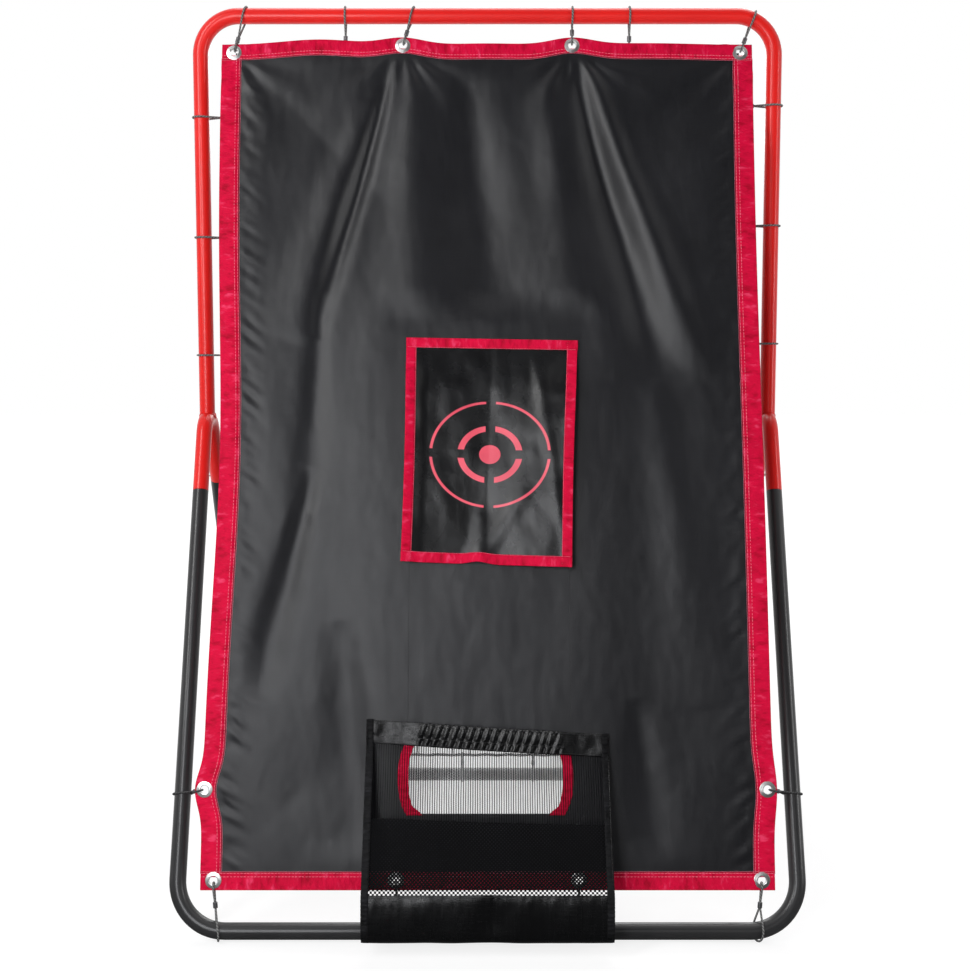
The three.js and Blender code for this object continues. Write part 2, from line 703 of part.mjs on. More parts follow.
// An open line of { out, drop } points, given a thickness to both sides
function ribbon(points, thickness) {
  const line = points.map(({ out, drop }) => new THREE.Vector2(out, drop));
  const runs = line.slice(1).map((point, k) => point.clone().sub(line[k]).normalize());
  const side = (sign) => line.map((point, k) => {
    const before = runs[Math.max(k - 1, 0)];
    const along = before.clone().add(runs[Math.min(k, runs.length - 1)]).normalize();
    const reach = (sign * thickness) / 2 / along.dot(before);
    return point.clone().add(new THREE.Vector2(-along.y, along.x).multiplyScalar(reach));
  });
  return new THREE.Shape([...side(1), ...side(-1).reverse()]);
}

const clothSeat = sheetThickness / 2 + clothGap + pocketCloth / 2;
const bandDrop = (u) => pocketTop + (pocketSkew * u) / pocketHalf;
const bandOut = (u) => {
  const free = 1 - Math.min((u / (pocketHalf - 2 * pocketTape)) ** 2, 1);
  return clothSeat + 2 + pocketMouth * free ** 2;
};
const bandEnd = pocketHalf - pocketCloth - clothGap;
const bandAcross = range(-bandEnd, bandEnd, 10);
const bandRows = [0, 0.5, 1].map((share) => bandAcross.map((u) => (
  new THREE.Vector3(u, -bandOut(u), -(bandDrop(u) + share * pocketBand)))));
addMesh('pocket_band', slabGeometry(bandRows, pocketCloth), sheetCloth, sheet);

const seamDrop = sheetLength + pocketSeam.belowSheet;
const [seam, toe, heel, backTop] = [
  { ...pocketSeam, belowSeam: 0 }, pocketToe, pocketHeel, pocketBackTop,
].map(({ out, belowSeam }) => ({ out, drop: seamDrop + belowSeam }));
const panelRows = range(0, 1, 5).map((share) => bandAcross.map((u) => {
  const top = bandDrop(u) + pocketBand + clothGap;
  const drop = THREE.MathUtils.lerp(top, seamDrop - clothGap, share);
  const out = THREE.MathUtils.lerp(bandOut(u), pocketSeam.out, share);
  return new THREE.Vector3(u, -out, -drop);
}));
addMesh('pocket_mesh', slabGeometry(panelRows, pocketCloth), blackMesh, sheet);

const trough = [seam, toe, heel, backTop];
addMesh('pocket_base', alongX(ribbon(trough, pocketCloth), bandAcross[0], bandAcross.at(-1)),
  sheetCloth, sheet);

function pocketSide(side) {
  const outer = side * pocketHalf;
  const inner = side * (pocketHalf - pocketCloth);
  const top = { out: bandOut(outer), drop: bandDrop(outer) };
  const corner = { out: bandOut(outer), drop: bandDrop(outer) + pocketBand };
  const frontLine = [top, corner, seam, toe];
  const face = pocketCloth + 2 * clothGap;
  const ahead = frontLine.map(({ out, drop }) => ({ out: out + face, drop }));
  const back = hemFace + clothGap;
  const plate = new THREE.Shape([
    ...ahead, heel, backTop, { out: back, drop: sheetLength }, { out: back, drop: top.drop },
  ].map(({ out, drop }) => new THREE.Vector2(out, drop)));
  const tape = ribbon(ahead, pocketCloth);
  return toGeometry(join([
    alongX(plate, Math.min(outer, inner), Math.max(outer, inner)),
    alongX(tape, Math.min(outer, side * (pocketHalf - pocketTape)),
      Math.max(outer, side * (pocketHalf - pocketTape))),
  ]));
}

addMesh('pocket_side_left', pocketSide(-1), sheetCloth, sheet);
addMesh('pocket_side_right', pocketSide(1), sheetCloth, sheet);

// A tie: a loop of cord round a tube, a crimp, and a loop on to what the tube holds. The
// loop at the far end is a list of [back towards the tube, in front of the cloth or net].
const cordRadius = cordDiameter / 2;
const cordShape = new THREE.Shape(
  polygonPoints(cordRadius * Math.cos(Math.PI / cordSides), cordSides));

const crimpCorner = crimpDiameter / 2 / Math.cos(Math.PI / 6);

function withTangents(points) {
  return points.map((point, k) => {
    const before = points[Math.max(k - 1, 0)];
    const after = points[Math.min(k + 1, points.length - 1)];
    return { point, tangent: after.clone().sub(before).normalize() };
  });
}

function tie({ around, along, to, axis, crimpAt, endLoop, twist = 0 }) {
  const line = to.clone().sub(around).normalize();
  const across = along.clone().cross(line).normalize().applyAxisAngle(line, twist);
  const square = along.clone().cross(line).length() * Math.cos(twist);
  const beside = cordRadius + 0.05;
  const radius = (tubeRadius / Math.cos(Math.PI / tubeSides) + cordGap) / square + cordRadius;
  const place = (a, b) => around.clone().addScaledVector(line, a).addScaledVector(across, b);
  const mouth = crimpAt - crimpLength / 2 - 1;
  const touch = Math.atan2(beside, mouth) + Math.acos(radius / Math.hypot(mouth, beside));
  // The chords between the points of the arc stay clear of the tube
  const standOff = radius / Math.cos((Math.PI - touch) / arcSteps);
  const near = [
    place(crimpAt, beside), place(mouth, beside),
    ...range(touch, 2 * Math.PI - touch, arcSteps).map((angle) => (
      place(standOff * Math.cos(angle), standOff * Math.sin(angle)))),
    place(mouth, -beside), place(crimpAt, -beside),
  ];
  const front = axis.clone().addScaledVector(line, -axis.dot(line)).normalize();
  const inCloth = line.clone().addScaledVector(axis, -axis.dot(line)).normalize();
  const crimped = (a, side) => place(a, 0).addScaledVector(front, side * beside);
  const farMouth = 2 * crimpAt - mouth;
  const far = [
    crimped(crimpAt, 1), crimped(farMouth, 1),
    ...endLoop.map(([back, ahead]) => (
      to.clone().addScaledVector(inCloth, -back).addScaledVector(axis, ahead))),
    crimped(farMouth, -1), crimped(crimpAt, -1),
  ];
  const crimpPlace = place(crimpAt, 0);
  const crimp = new THREE.CylinderGeometry(crimpCorner, crimpCorner, crimpLength, 6);
  crimp.applyQuaternion(new THREE.Quaternion().setFromUnitVectors(yAxis, line));
  crimp.translate(crimpPlace.x, crimpPlace.y, crimpPlace.z);
  return join([
    sweep(withTangents(near), cordShape), sweep(withTangents(far), cordShape), crimp,
  ]);
}

// A loop given by its front half, which ends at its middle, and the same again behind
function fullLoop(half) {
  const behind = half.map(([back, ahead]) => [back, -ahead]).reverse();
  return [...half, ...behind.slice(1)];
}

const throughGrommet = fullLoop([[21, 5.4], [11.5, 6.2], [5.8, 4.9], [4.2, 0]]);
const roundHemEdge = [
  [22.5, -3], [20.2, 4.2], [11.5, 6.2], [5.8, 4.9], [4.2, 0], [6.2, -5], [12, -7.5],
];
const roundBorder = fullLoop([[1, 5], [-5.4, 4.4], [-8.2, 0]]);

// A place on a bar or in the bend at its end, by its distance from the middle
function onBar(turnFromDown, x, length, cornerRadius) {
  const past = Math.max(Math.abs(x) - (halfFrame - cornerRadius), 0);
  const angle = Math.asin(past / cornerRadius);
  const point = onFrame(turnFromDown, x, length - cornerRadius * (1 - Math.cos(angle)));
  const tangent = onFrame(turnFromDown, Math.cos(angle), -Math.sign(x) * Math.sin(angle)).sub(apex);
  return { around: point, along: tangent };
}

const grommetCentres = grommetPlaces.map(([, u, drop]) => sheet.localToWorld(hang(u, drop)));
const outward = yAxis.clone().negate().applyAxisAngle(xAxis, -sheetTilt);

// The cord under a floor bar is pressed flat between the bar and the floor
const floorTool = new THREE.BoxGeometry(2 * frameWidth, 4 * legSpread, footLift);
floorTool.translate(0, 0, -footLift / 2);

function addTie(name, settings, onFloor = false) {
  const solid = tie(settings);
  addMesh(name, toGeometry(onFloor ? cutAway(solid, [floorTool]) : solid), cordGrey);
}

topTieShifts.forEach((shift, k) => {
  const bar = onBar(upperTurn, grommetPlaces[k][1] + shift, upperLength, topCornerRadius);
  const crimpAt = bar.around.distanceTo(grommetCentres[k]) - topCrimp;
  addTie(`sheet_tie_top_${k + 1}`, {
    ...bar, to: grommetCentres[k], axis: outward, crimpAt, endLoop: throughGrommet,
  });
});
['left', 'right'].forEach((side, k) => {
  const to = grommetCentres[4 + k];
  const down = onFrame(-legTurn, 0, 1).sub(apex);
  const reach = to.clone().sub(apex).dot(down) + sideTieDrop;
  const around = onFrame(-legTurn, k ? halfFrame : -halfFrame, reach);
  addTie(`sheet_tie_${side}`, {
    around, along: down, to, axis: outward, crimpAt: around.distanceTo(to) - sideCrimp,
    endLoop: roundHemEdge,
  });
});
footTieShifts.forEach((shift, k) => {
  const across = grommetPlaces[6 + k][1];
  addTie(`sheet_tie_foot_${k + 1}`, {
    ...onBar(-legTurn, across + shift, legLength, footCornerRadius), to: grommetCentres[6 + k],
    axis: outward, crimpAt: footCrimp, endLoop: throughGrommet,
    twist: Math.abs(across) > innerGrommet ? footTwist : 0,
  }, true);
});

// Rebound net: flat behind the sheet down to its knee, then back to the rear bar
const netHalf = netWidth / 2;
const netTopReach = upperLength - netTopGap;
const upperDrop = netTopReach - netKnee;
const kneePoint = onFrame(upperTurn, 0, netKnee);
const lowerLine = onFrame(legTurn, 0, legLength).sub(kneePoint);
const netDrop = upperDrop + lowerLine.length() - netFootGap;
lowerLine.normalize();
const upperLine = onFrame(upperTurn, 0, 1).sub(apex);
const upperFront = xAxis.clone().cross(upperLine);
const lowerFront = lowerLine.clone().cross(xAxis);
const kneeFront = upperFront.clone().add(lowerFront).normalize();

function onNet(x, drop, out = 0) {
  if (drop <= upperDrop) {
    return onFrame(upperTurn, x, netTopReach - drop).addScaledVector(upperFront, out);
  }
  return kneePoint.clone().addScaledVector(lowerLine, drop - upperDrop)
    .addScaledVector(lowerFront, out).add(new THREE.Vector3(x, 0, 0));
}

// The two faces of each cord along a list of lines: [place, starts a cord]
function cordEdges(lines) {
  const last = lines.length - 1;
  return lines.flatMap((line, k) => {
    const half = k === 0 || k === last ? netBorder / 2 : netCord / 2;
    return [[line - half, true], [line + half, false]];
  });
}

// The net is made in two flat halves, which meet at a mitre along the knee
function atKnee(line, x, out) {
  return kneePoint.clone().addScaledVector(line, clothGap / 2).addScaledVector(xAxis, x)
    .addScaledVector(kneeFront, out / kneeFront.dot(upperFront));
}

// Half of the net as cells of a grid, solid where either direction has a cord
function netGeometry(rows, line) {
  const edge = netBorder / 2;
  const columns = cordEdges(range(edge - netHalf, netHalf - edge, netColumns));
  const wide = columns.length;
  const layer = wide * rows.length;
  const points = [netThickness / 2, -netThickness / 2].flatMap((out) => (
    rows.flatMap(([drop]) => columns.map(([x]) => (
      drop === upperDrop ? atKnee(line, x, out) : onNet(x, drop, out))))));
  const solid = (r, c) => (r >= 0 && c >= 0 && r < rows.length - 1 && c < wide - 1
    && (rows[r][1] || columns[c][1]));
  const index = [];
  const quad = (a, b, c, d) => index.push(a, b, c, a, c, d);
  for (let r = 0; r < rows.length - 1; r += 1) {
    for (let c = 0; c < wide - 1; c += 1) {
      if (solid(r, c)) {
        const [a, b] = [r * wide + c, r * wide + c + 1];
        const [d, e] = [b + wide, a + wide];
        quad(a, e, d, b);
        quad(layer + a, layer + b, layer + d, layer + e);
        if (!solid(r - 1, c)) quad(a, b, layer + b, layer + a);
        if (!solid(r, c + 1)) quad(b, d, layer + d, layer + b);
        if (!solid(r + 1, c)) quad(d, e, layer + e, layer + d);
        if (!solid(r, c - 1)) quad(e, a, layer + a, layer + e);
      }
    }
  }
  return toGeometry(toSolid(indexed(points, index)));
}

const netLines = cordEdges(range(0, netDrop, netRows));
const kneeLine = [upperDrop, false];
addMesh('rebound_net_upper', netGeometry(
  [...netLines.filter(([drop]) => drop < upperDrop), kneeLine], upperLine), netGrey);
addMesh('rebound_net_lower', netGeometry(
  [kneeLine, ...netLines.filter(([drop]) => drop > upperDrop)], lowerLine), netGrey);

const netEdge = netHalf - netBorder / 2;
netTopTies.forEach((x, k) => {
  addTie(`net_tie_top_${k + 1}`, {
    ...onBar(upperTurn, x, upperLength, topCornerRadius), to: onNet(x, 0), axis: upperFront,
    crimpAt: netCrimp, endLoop: roundBorder,
  });
});
['left', 'right'].forEach((side, k) => netSideTies.forEach((rise, row) => {
  const reach = rise + k * netTieStep;
  const sign = k ? 1 : -1;
  addTie(`net_tie_${side}_${row + 1}`, {
    around: onFrame(upperTurn, sign * halfFrame, reach),
    along: onFrame(upperTurn, 0, 1).sub(apex),
    to: onNet(sign * netEdge, netTopReach - reach), axis: upperFront,
    crimpAt: netCrimp, endLoop: roundBorder,
  });
}));
netFootTies.forEach((x, k) => {
  addTie(`net_tie_foot_${k + 1}`, {
    ...onBar(legTurn, x, legLength, footCornerRadius), to: onNet(x, netDrop),
    axis: lowerFront, crimpAt: netFootCrimp, endLoop: roundBorder,
  }, true);
});

// The origin is the middle of the footprint, on the floor
model.updateMatrixWorld(true);
const bounds = new THREE.Box3().setFromObject(model, true);
const centre = bounds.getCenter(new THREE.Vector3());
model.position.set(-centre.x, -centre.y, -bounds.min.z);
model.updateMatrixWorld(true);

export default model;
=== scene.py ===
# A golf chipping net dressed for the camera: tube frame, hung sheet with its target
# flap, ball chute and pocket, and the rebound net behind. Lengths below are millimetres.
import math
import bpy
import bmesh
from mathutils import Matrix, Vector, noise


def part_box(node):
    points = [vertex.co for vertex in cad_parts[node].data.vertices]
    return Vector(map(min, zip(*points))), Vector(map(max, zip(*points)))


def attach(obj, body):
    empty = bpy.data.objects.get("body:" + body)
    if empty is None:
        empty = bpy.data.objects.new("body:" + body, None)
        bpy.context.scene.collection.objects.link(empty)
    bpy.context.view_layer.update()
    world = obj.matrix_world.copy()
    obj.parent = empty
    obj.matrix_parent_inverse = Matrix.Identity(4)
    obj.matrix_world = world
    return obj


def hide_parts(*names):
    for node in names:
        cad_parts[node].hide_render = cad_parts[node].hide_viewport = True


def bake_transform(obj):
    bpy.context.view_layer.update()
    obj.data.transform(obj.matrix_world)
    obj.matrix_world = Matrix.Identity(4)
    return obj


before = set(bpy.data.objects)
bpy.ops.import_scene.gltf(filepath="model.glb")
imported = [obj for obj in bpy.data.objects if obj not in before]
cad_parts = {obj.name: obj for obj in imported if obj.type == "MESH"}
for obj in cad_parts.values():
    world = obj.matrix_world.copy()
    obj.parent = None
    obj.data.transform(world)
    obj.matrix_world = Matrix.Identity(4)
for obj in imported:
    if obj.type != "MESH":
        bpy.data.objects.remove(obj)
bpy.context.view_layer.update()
scene = bpy.context.scene


def middleOf(node):
    low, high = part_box(node)
    return (low + high) / 2


# The brackets are the same front and back, so their middle is the middle of the frame
origin = (middleOf("left_bracket") + middleOf("right_bracket")) / 2
origin.z = 0
millimetres = Matrix.Translation(origin) @ Matrix.Scale(0.001, 4)


# An output in a node graph. Sums with it make math nodes.
class Signal:
    def __init__(self, graph, socket):
        self.graph = graph
        self.socket = socket

    def math(self, operation, *others):
        return self.graph.add("ShaderNodeMath", {"operation": operation},
                              dict(enumerate([self, *others])))

    def __add__(self, other):
        return self.math("ADD", other)

    def __sub__(self, other):
        return self.math("SUBTRACT", other)

    def __mul__(self, other):
        return self.math("MULTIPLY", other)

    def __truediv__(self, other):
        return self.math("DIVIDE", other)

    def __abs__(self):
        return self.math("ABSOLUTE")

    def __rsub__(self, other):
        return self.graph.add("ShaderNodeMath", {"operation": "SUBTRACT"}, {0: other, 1: self})

    __radd__ = __add__

    def band(self, low, high):
        return self.graph.add("ShaderNodeMapRange", {"interpolation_type": "SMOOTHSTEP"},
                              {"Value": self, "From Min": low, "From Max": high})


class Graph:
    def __init__(self, tree):
        self.tree = tree

    def add(self, kind, settings=None, inputs=None, output=0):
        node = self.tree.nodes.new(kind)
        for key, value in (settings or {}).items():
            setattr(node, key, value)
        self.feed(node, inputs or {})
        return Signal(self, node.outputs[output])

    def feed(self, node, inputs):
        for key, value in inputs.items():
            if isinstance(value, Signal):
                self.tree.links.new(value.socket, node.inputs[key])
            elif isinstance(value, tuple) and len(value) == 3 and node.inputs[key].type == "RGBA":
                node.inputs[key].default_value = (*value, 1)
            else:
                node.inputs[key].default_value = value

    def rays(self, *kinds):
        paths = self.add("ShaderNodeLightPath").socket.node
        return [Signal(self, paths.outputs[f"Is {kind} Ray"]) for kind in kinds]

    def place(self):
        return self.add("ShaderNodeTexCoord", output=3)

    def sheetPlace(self):
        return self.add("ShaderNodeUVMap", {"uv_map": "UVMap"})

    def axes(self, vector):
        split = self.add("ShaderNodeSeparateXYZ", None, {0: vector})
        return [Signal(self, socket) for socket in split.socket.node.outputs]

    def stretched(self, vector, scale):
        return self.add("ShaderNodeVectorMath", {"operation": "MULTIPLY"}, {0: vector, 1: scale})

    def noise(self, vector, scale, detail, roughness=0.5):
        return self.add("ShaderNodeTexNoise", None, {
            "Vector": vector, "Scale": scale, "Detail": detail, "Roughness": roughness})

    def mix(self, share, first, second):
        return self.add("ShaderNodeMix", {"data_type": "RGBA"},
                        {0: share, 6: first, 7: second}, output=2)

    def bump(self, height, distance, strength, **under):
        return self.add("ShaderNodeBump", None, {
            "Height": height, "Distance": distance, "Strength": strength, **under})

    def blendShaders(self, share, first, second):
        return self.add("ShaderNodeMixShader", None, {0: share, 1: first, 2: second})

    def show(self, shader, output):
        self.tree.links.new(shader.socket, self.tree.nodes[output].inputs["Surface"])


class Finish(Graph):
    def __init__(self, name, **constants):
        self.material = bpy.data.materials.new(name)
        self.material.use_nodes = True
        super().__init__(self.material.node_tree)
        self.surface = self.tree.nodes["Principled BSDF"]
        self.feed(self.surface, constants)

    def finish(self, **sockets):
        self.feed(self.surface, sockets)
        return self.material


def powderCoat(name, color, dark, roughness):
    coat = Finish(name, **{
        "Specular IOR Level": 0.3, "Coat Weight": 0.1, "Coat Roughness": 0.1})
    place = coat.place()
    cloud = coat.noise(place, 6, 3)
    orangePeel = coat.noise(place, 420, 2)
    wear = coat.noise(place, 55, 5, 0.7).band(0.66, 0.74)
    return coat.finish(**{
        "Base Color": coat.mix(cloud.band(0.3, 0.8) * 0.6 + wear * 0.15, color, dark),
        "Roughness": roughness + cloud * 0.08 + wear * 0.15,
        "Normal": coat.bump(orangePeel, 0.00012, 0.35),
    })


def platedSteel(name, color, roughness):
    steel = Finish(name)
    place = steel.place()
    cloud = steel.noise(place, 90, 4, 0.6)
    scuff = steel.noise(steel.stretched(place, (1, 1, 6)), 700, 2)
    return steel.finish(**{
        "Base Color": steel.mix(cloud.band(0.35, 0.75), color, tuple(0.72 * c for c in color)),
        "Metallic": 1.0,
        "Roughness": roughness + cloud * 0.18,
        "Normal": steel.bump(scuff, 0.00006, 0.4),
    })


# Over and under: two crossed waves, each showing where it rides on top
def weaveHeight(across, down, pitch):
    perMetre = 2 * math.pi / pitch
    warp = (across * perMetre).math("SINE")
    weft = (down * perMetre).math("SINE")
    return (warp * 0.5 + 0.5).math("MAXIMUM", weft * 0.5 + 0.5)


def coatedCloth(name, settings):
    cloth = Finish(name, **{"Specular IOR Level": settings["specular"]})
    flat = cloth.sheetPlace()
    across, down, _ = cloth.axes(flat)
    weave = weaveHeight(across, down, settings["pitch"])
    slub = cloth.noise(cloth.stretched(flat, (3.0, 90.0, 1.0)), 6, 3, 0.6)
    slubDown = cloth.noise(cloth.stretched(flat, (90.0, 3.0, 1.0)), 6, 3, 0.6)
    cloud = cloth.noise(flat, 5.5, 4, 0.55)
    crease = cloth.noise(cloth.stretched(flat, settings["creaseStretch"]),
                         settings["creaseScale"], 3, 0.55)
    fine = cloth.noise(flat, 420, 2, 0.6)
    shade = cloud * 0.4 + (slub + slubDown) * 0.3 + (fine - 0.5) * 0.5
    creased = cloth.bump(crease, settings["creaseDepth"], 0.8)
    return cloth.finish(**{
        "Base Color": cloth.mix(shade.band(0.3, 0.75), settings["dark"], settings["pale"]),
        "Roughness": settings["roughness"] + cloud * 0.1 + (slub + slubDown) * 0.06,
        "Normal": cloth.bump(weave + slub * 0.6, 0.00018, 0.4, Normal=creased),
    })


# Printed target, in metres on the flap: how far each ring reaches across, and its line
target = {
    "centre": (0.0045, 0.852), "squeeze": 0.876, "gap": 0.0098,
    "outer": 0.1185, "outerLine": 0.0056, "inner": 0.0590, "innerLine": 0.0125, "dot": 0.0215,
    "ink": (0.80, 0.10, 0.145), "inkEdge": (0.66, 0.07, 0.11),
}


def targetCloth(name, settings):
    cloth = Finish(name, **{"Specular IOR Level": settings["specular"]})
    flat = cloth.sheetPlace()
    across, down, _ = cloth.axes(flat)
    x = across - target["centre"][0]
    y = (down - target["centre"][1]) / target["squeeze"]
    reach = (x * x + y * y).math("SQRT")
    soft = 0.0005

    def ring(radius, line):
        return 1 - abs(reach - radius).band(line / 2 - soft, line / 2 + soft)

    gapEdge = (target["gap"] - soft, target["gap"] + soft)
    crossing = abs(x).band(*gapEdge) * abs(y).band(*gapEdge)
    rings = ring(target["outer"], target["outerLine"]).math(
        "MAXIMUM", ring(target["inner"], target["innerLine"])) * crossing
    dot = 1 - reach.band(target["dot"] - soft, target["dot"] + soft)
    printed = rings.math("MAXIMUM", dot)
    weave = weaveHeight(across, down, settings["pitch"])
    cloud = cloth.noise(flat, 9, 4, 0.6)
    crease = cloth.noise(cloth.stretched(flat, (1.0, 0.6, 1.0)), 9, 2, 0.45)
    fine = cloth.noise(flat, 34, 2, 0.5)
    base = cloth.mix(cloud.band(0.35, 0.7), settings["dark"], settings["pale"])
    ink = cloth.mix(cloud.band(0.3, 0.7), target["ink"], target["inkEdge"])
    creased = cloth.bump(crease + fine * 0.05, settings["creaseDepth"], 1.0)
    return cloth.finish(**{
        "Base Color": cloth.mix(printed, base, ink),
        "Roughness": settings["roughness"] + cloud * 0.14 + printed * 0.08,
        "Normal": cloth.bump(weave + printed * 1.5, 0.00012, 0.4, Normal=creased),
    })


def sewnTape(name, color, dark, pale, roughness):
    tape = Finish(name, **{"Specular IOR Level": 0.06})
    pitch = 0.0012
    flat = tape.sheetPlace()
    across, down, _ = tape.axes(flat)
    rib = ((across + down) * (2 * math.pi / pitch)).math("SINE") * 0.5 + 0.5
    weave = weaveHeight(across, down, pitch)
    slanted = tape.add("ShaderNodeMapping", None, {
        "Vector": flat, "Rotation": (0, 0, 0.75), "Scale": (1.0, 2.4, 1.0)})
    pucker = tape.noise(slanted, 30, 3, 0.55)
    cloud = tape.noise(flat, 14, 4, 0.6)
    # The pucker noise also paints light and shade into the colour. Its wrinkle troughs are painted
    # darker, as painted shade mixed with random darker tone, and its ridges are painted pale, as a
    # painted highlight.
    shade = tape.mix(cloud.band(0.3, 0.72) * 0.4 + pucker.band(0.3, 0.5) * 0.6, dark, color)
    puckered = tape.bump(pucker, 0.006, 1.0)
    return tape.finish(**{
        "Base Color": tape.mix(pucker.band(0.55, 0.74) * 0.5, shade, pale),
        "Roughness": roughness + cloud * 0.15,
        "Normal": tape.bump(weave + rib * 0.5, 0.00014, 0.5, Normal=puckered),
    })


# Each zone of a mesh runs from a drop downwards. Its threads are upright lines or a net of
# small holes, and `edge` is the height of the wave above which a hole is open.
def openMesh(name, thread, settings):
    mesh = Finish(name, **{"Specular IOR Level": 0.1})
    soft = 0.07
    flat = mesh.sheetPlace()
    across, down, _ = mesh.axes(flat)
    drifted = across + mesh.noise(flat, 18, 2) * settings["drift"]
    for zone in settings["zones"]:
        perMetre = math.pi / zone["pitch"]
        columns = (drifted * perMetre).math("SINE")
        wave = abs(columns) if zone["lines"] else columns * (down * perMetre).math("SINE")
        threads = 1 - wave.band(zone["edge"] - soft, zone["edge"] + soft)
        if "from" in zone:
            share = down.band(zone["from"] - 0.002, zone["from"] + 0.002)
            threads = covered * (1 - share) + threads * share
        covered = threads
    cloud = mesh.noise(flat, 11, 3)
    pale = tuple(min(1.3 * c + 0.0005, 0.95) for c in thread)
    return mesh.finish(**{
        "Base Color": mesh.mix(cloud.band(0.3, 0.7), thread, pale),
        "Roughness": 0.75 + cloud * 0.15,
        "Alpha": covered,
        "Normal": mesh.bump(covered, 0.0004, 0.6),
    })


def twistedCord(name, color, dark, pitch, roughness=0.6):
    cord = Finish(name)
    around, along, _ = cord.axes(cord.sheetPlace())
    strand = ((around * 2 + along / pitch) * (2 * math.pi)).math("SINE") * 0.5 + 0.5
    fuzz = cord.noise(cord.place(), 900, 3, 0.6)
    return cord.finish(**{
        "Base Color": cord.mix((strand * 0.75 + fuzz * 0.35).band(0.15, 0.9), dark, color),
        "Roughness": roughness + fuzz * 0.2,
        "Normal": cord.bump(strand + fuzz * 0.3, 0.0005, 0.7),
    })


finishes = {
    "glossRed": powderCoat("gloss red powder coat", (0.74, 0.015, 0.012),
                           (0.62, 0.010, 0.009), 0.26),
    "glossBlack": powderCoat("gloss black powder coat", (0.026, 0.026, 0.027),
                             (0.018, 0.018, 0.018), 0.26),
    "zinc": platedSteel("zinc plated steel", (0.80, 0.80, 0.79), 0.24),
    "crimp": platedSteel("dark plated sleeve", (0.16, 0.16, 0.165), 0.4),
    "sheet": coatedCloth("black coated polyester", {
        "dark": (0.0034, 0.0034, 0.0048), "pale": (0.0080, 0.0081, 0.0106), "roughness": 0.28,
        "pitch": 0.0014, "specular": 0.42, "creaseStretch": (1.0, 0.5, 1.0),
        "creaseScale": 6.5, "creaseDepth": 0.008}),
    "flap": targetCloth("printed target cloth", {
        "dark": (0.0035, 0.0035, 0.004), "pale": (0.007, 0.0072, 0.008), "roughness": 0.2,
        "pitch": 0.0012, "specular": 0.36, "creaseDepth": 0.013}),
    "pocketCloth": coatedCloth("glossy black pocket cloth", {
        "dark": (0.0015, 0.0015, 0.0018), "pale": (0.0035, 0.0036, 0.004), "roughness": 0.16,
        "pitch": 0.0012, "specular": 0.4, "creaseStretch": (1.0, 0.8, 1.0),
        "creaseScale": 11, "creaseDepth": 0.012}),
    # For each tape: its colour, a darker colour for random tone and the painted shade in its
    # wrinkles, and a pale colour for the painted highlight on its wrinkle ridges.
    "redTape": sewnTape("red binding tape", (0.64, 0.0035, 0.043), (0.33, 0.0015, 0.016),
                        (0.88, 0.08, 0.19), 0.45),
    "blackTape": sewnTape("black binding tape", (0.010, 0.010, 0.011), (0.005, 0.005, 0.005),
                          (0.03, 0.03, 0.034), 0.4),
    "paleMesh": openMesh("pale chute mesh", (0.74, 0.74, 0.735), {
        "drift": 0.002, "zones": [{"pitch": 0.0016, "lines": False, "edge": -0.08}]}),
    "pocketMesh": openMesh("black pocket mesh", (0.0015, 0.0015, 0.002), {
        "drift": 0.0015, "zones": [
            {"pitch": 0.0045, "lines": True, "edge": 0.45},
            # Over the hem the mesh is a denser net of small holes. This is partly painted shade: it
            # darkens the hem behind it in place of the shade inside the pocket.
            {"pitch": 0.0034, "lines": False, "edge": 0.5, "from": 1.556},
            {"pitch": 0.0040, "lines": False, "edge": 0.0, "from": 1.671}]}),
    "tieCord": twistedCord("grey tie cord", (0.21, 0.21, 0.205), (0.04, 0.04, 0.04), 0.006),
    "blackCord": twistedCord("black tie cord", (0.05, 0.05, 0.052), (0.01, 0.01, 0.01), 0.006),
    "netCord": twistedCord("black net cord", (0.035, 0.035, 0.037), (0.012, 0.012, 0.012),
                           0.005, 0.7),
    "redThread": twistedCord("pink red thread", (0.90, 0.24, 0.32), (0.66, 0.05, 0.12), 0.002),
    "blackThread": twistedCord("black thread", (0.03, 0.03, 0.032), (0.008, 0.008, 0.008),
                               0.002),
}
print("finishes:", len(finishes))


def smoothStep(value, low, high):
    share = min(max((value - low) / (high - low), 0), 1)
    return share * share * (3 - 2 * share)


def bump(distance, spread):
    return math.exp(-((distance / spread) ** 2))


def waver(x, y=0.0, z=0.0):
    return noise.noise(Vector((x, y, z)))


def between(low, high, share):
    return low + (high - low) * share


# A piece rides its body, unless it is given none, as the flap's pieces are
def addPiece(name, bm, finish, nodes=(), body="net_frame", sharp=80, thickness=0,
             closed=True):
    bmesh.ops.remove_doubles(bm, verts=bm.verts, dist=1e-7)
    if closed:
        bmesh.ops.recalc_face_normals(bm, faces=bm.faces)
    mesh = bpy.data.meshes.new(name)
    bm.to_mesh(mesh)
    bm.free()
    piece = bpy.data.objects.new(name, mesh)
    scene.collection.objects.link(piece)
    mesh.materials.append(finishes[finish])
    mesh.shade_smooth()
    mesh.set_sharp_from_angle(angle=math.radians(sharp))
    if thickness:
        solid = piece.modifiers.new("thickness", "SOLIDIFY")
        solid.thickness = thickness * 0.001
        solid.offset = 0
    if body:
        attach(piece, body)
    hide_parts(*nodes)
    return piece


# Cloth and tape are sheets on the frame of the hung sheet
def clothPiece(name, bm, finish, nodes, thickness, body="net_frame"):
    bm.transform(sheetFrame)
    return addPiece(name, bm, finish, nodes, body, 60, thickness, closed=False)


def stitchPiece(name, seams, finish="blackThread", body="net_frame"):
    bm = joined(seams)
    bm.transform(sheetFrame)
    return addPiece(name, bm, finish, body=body)


def newVerts(made):
    return [item for item in made if isinstance(item, bmesh.types.BMVert)]


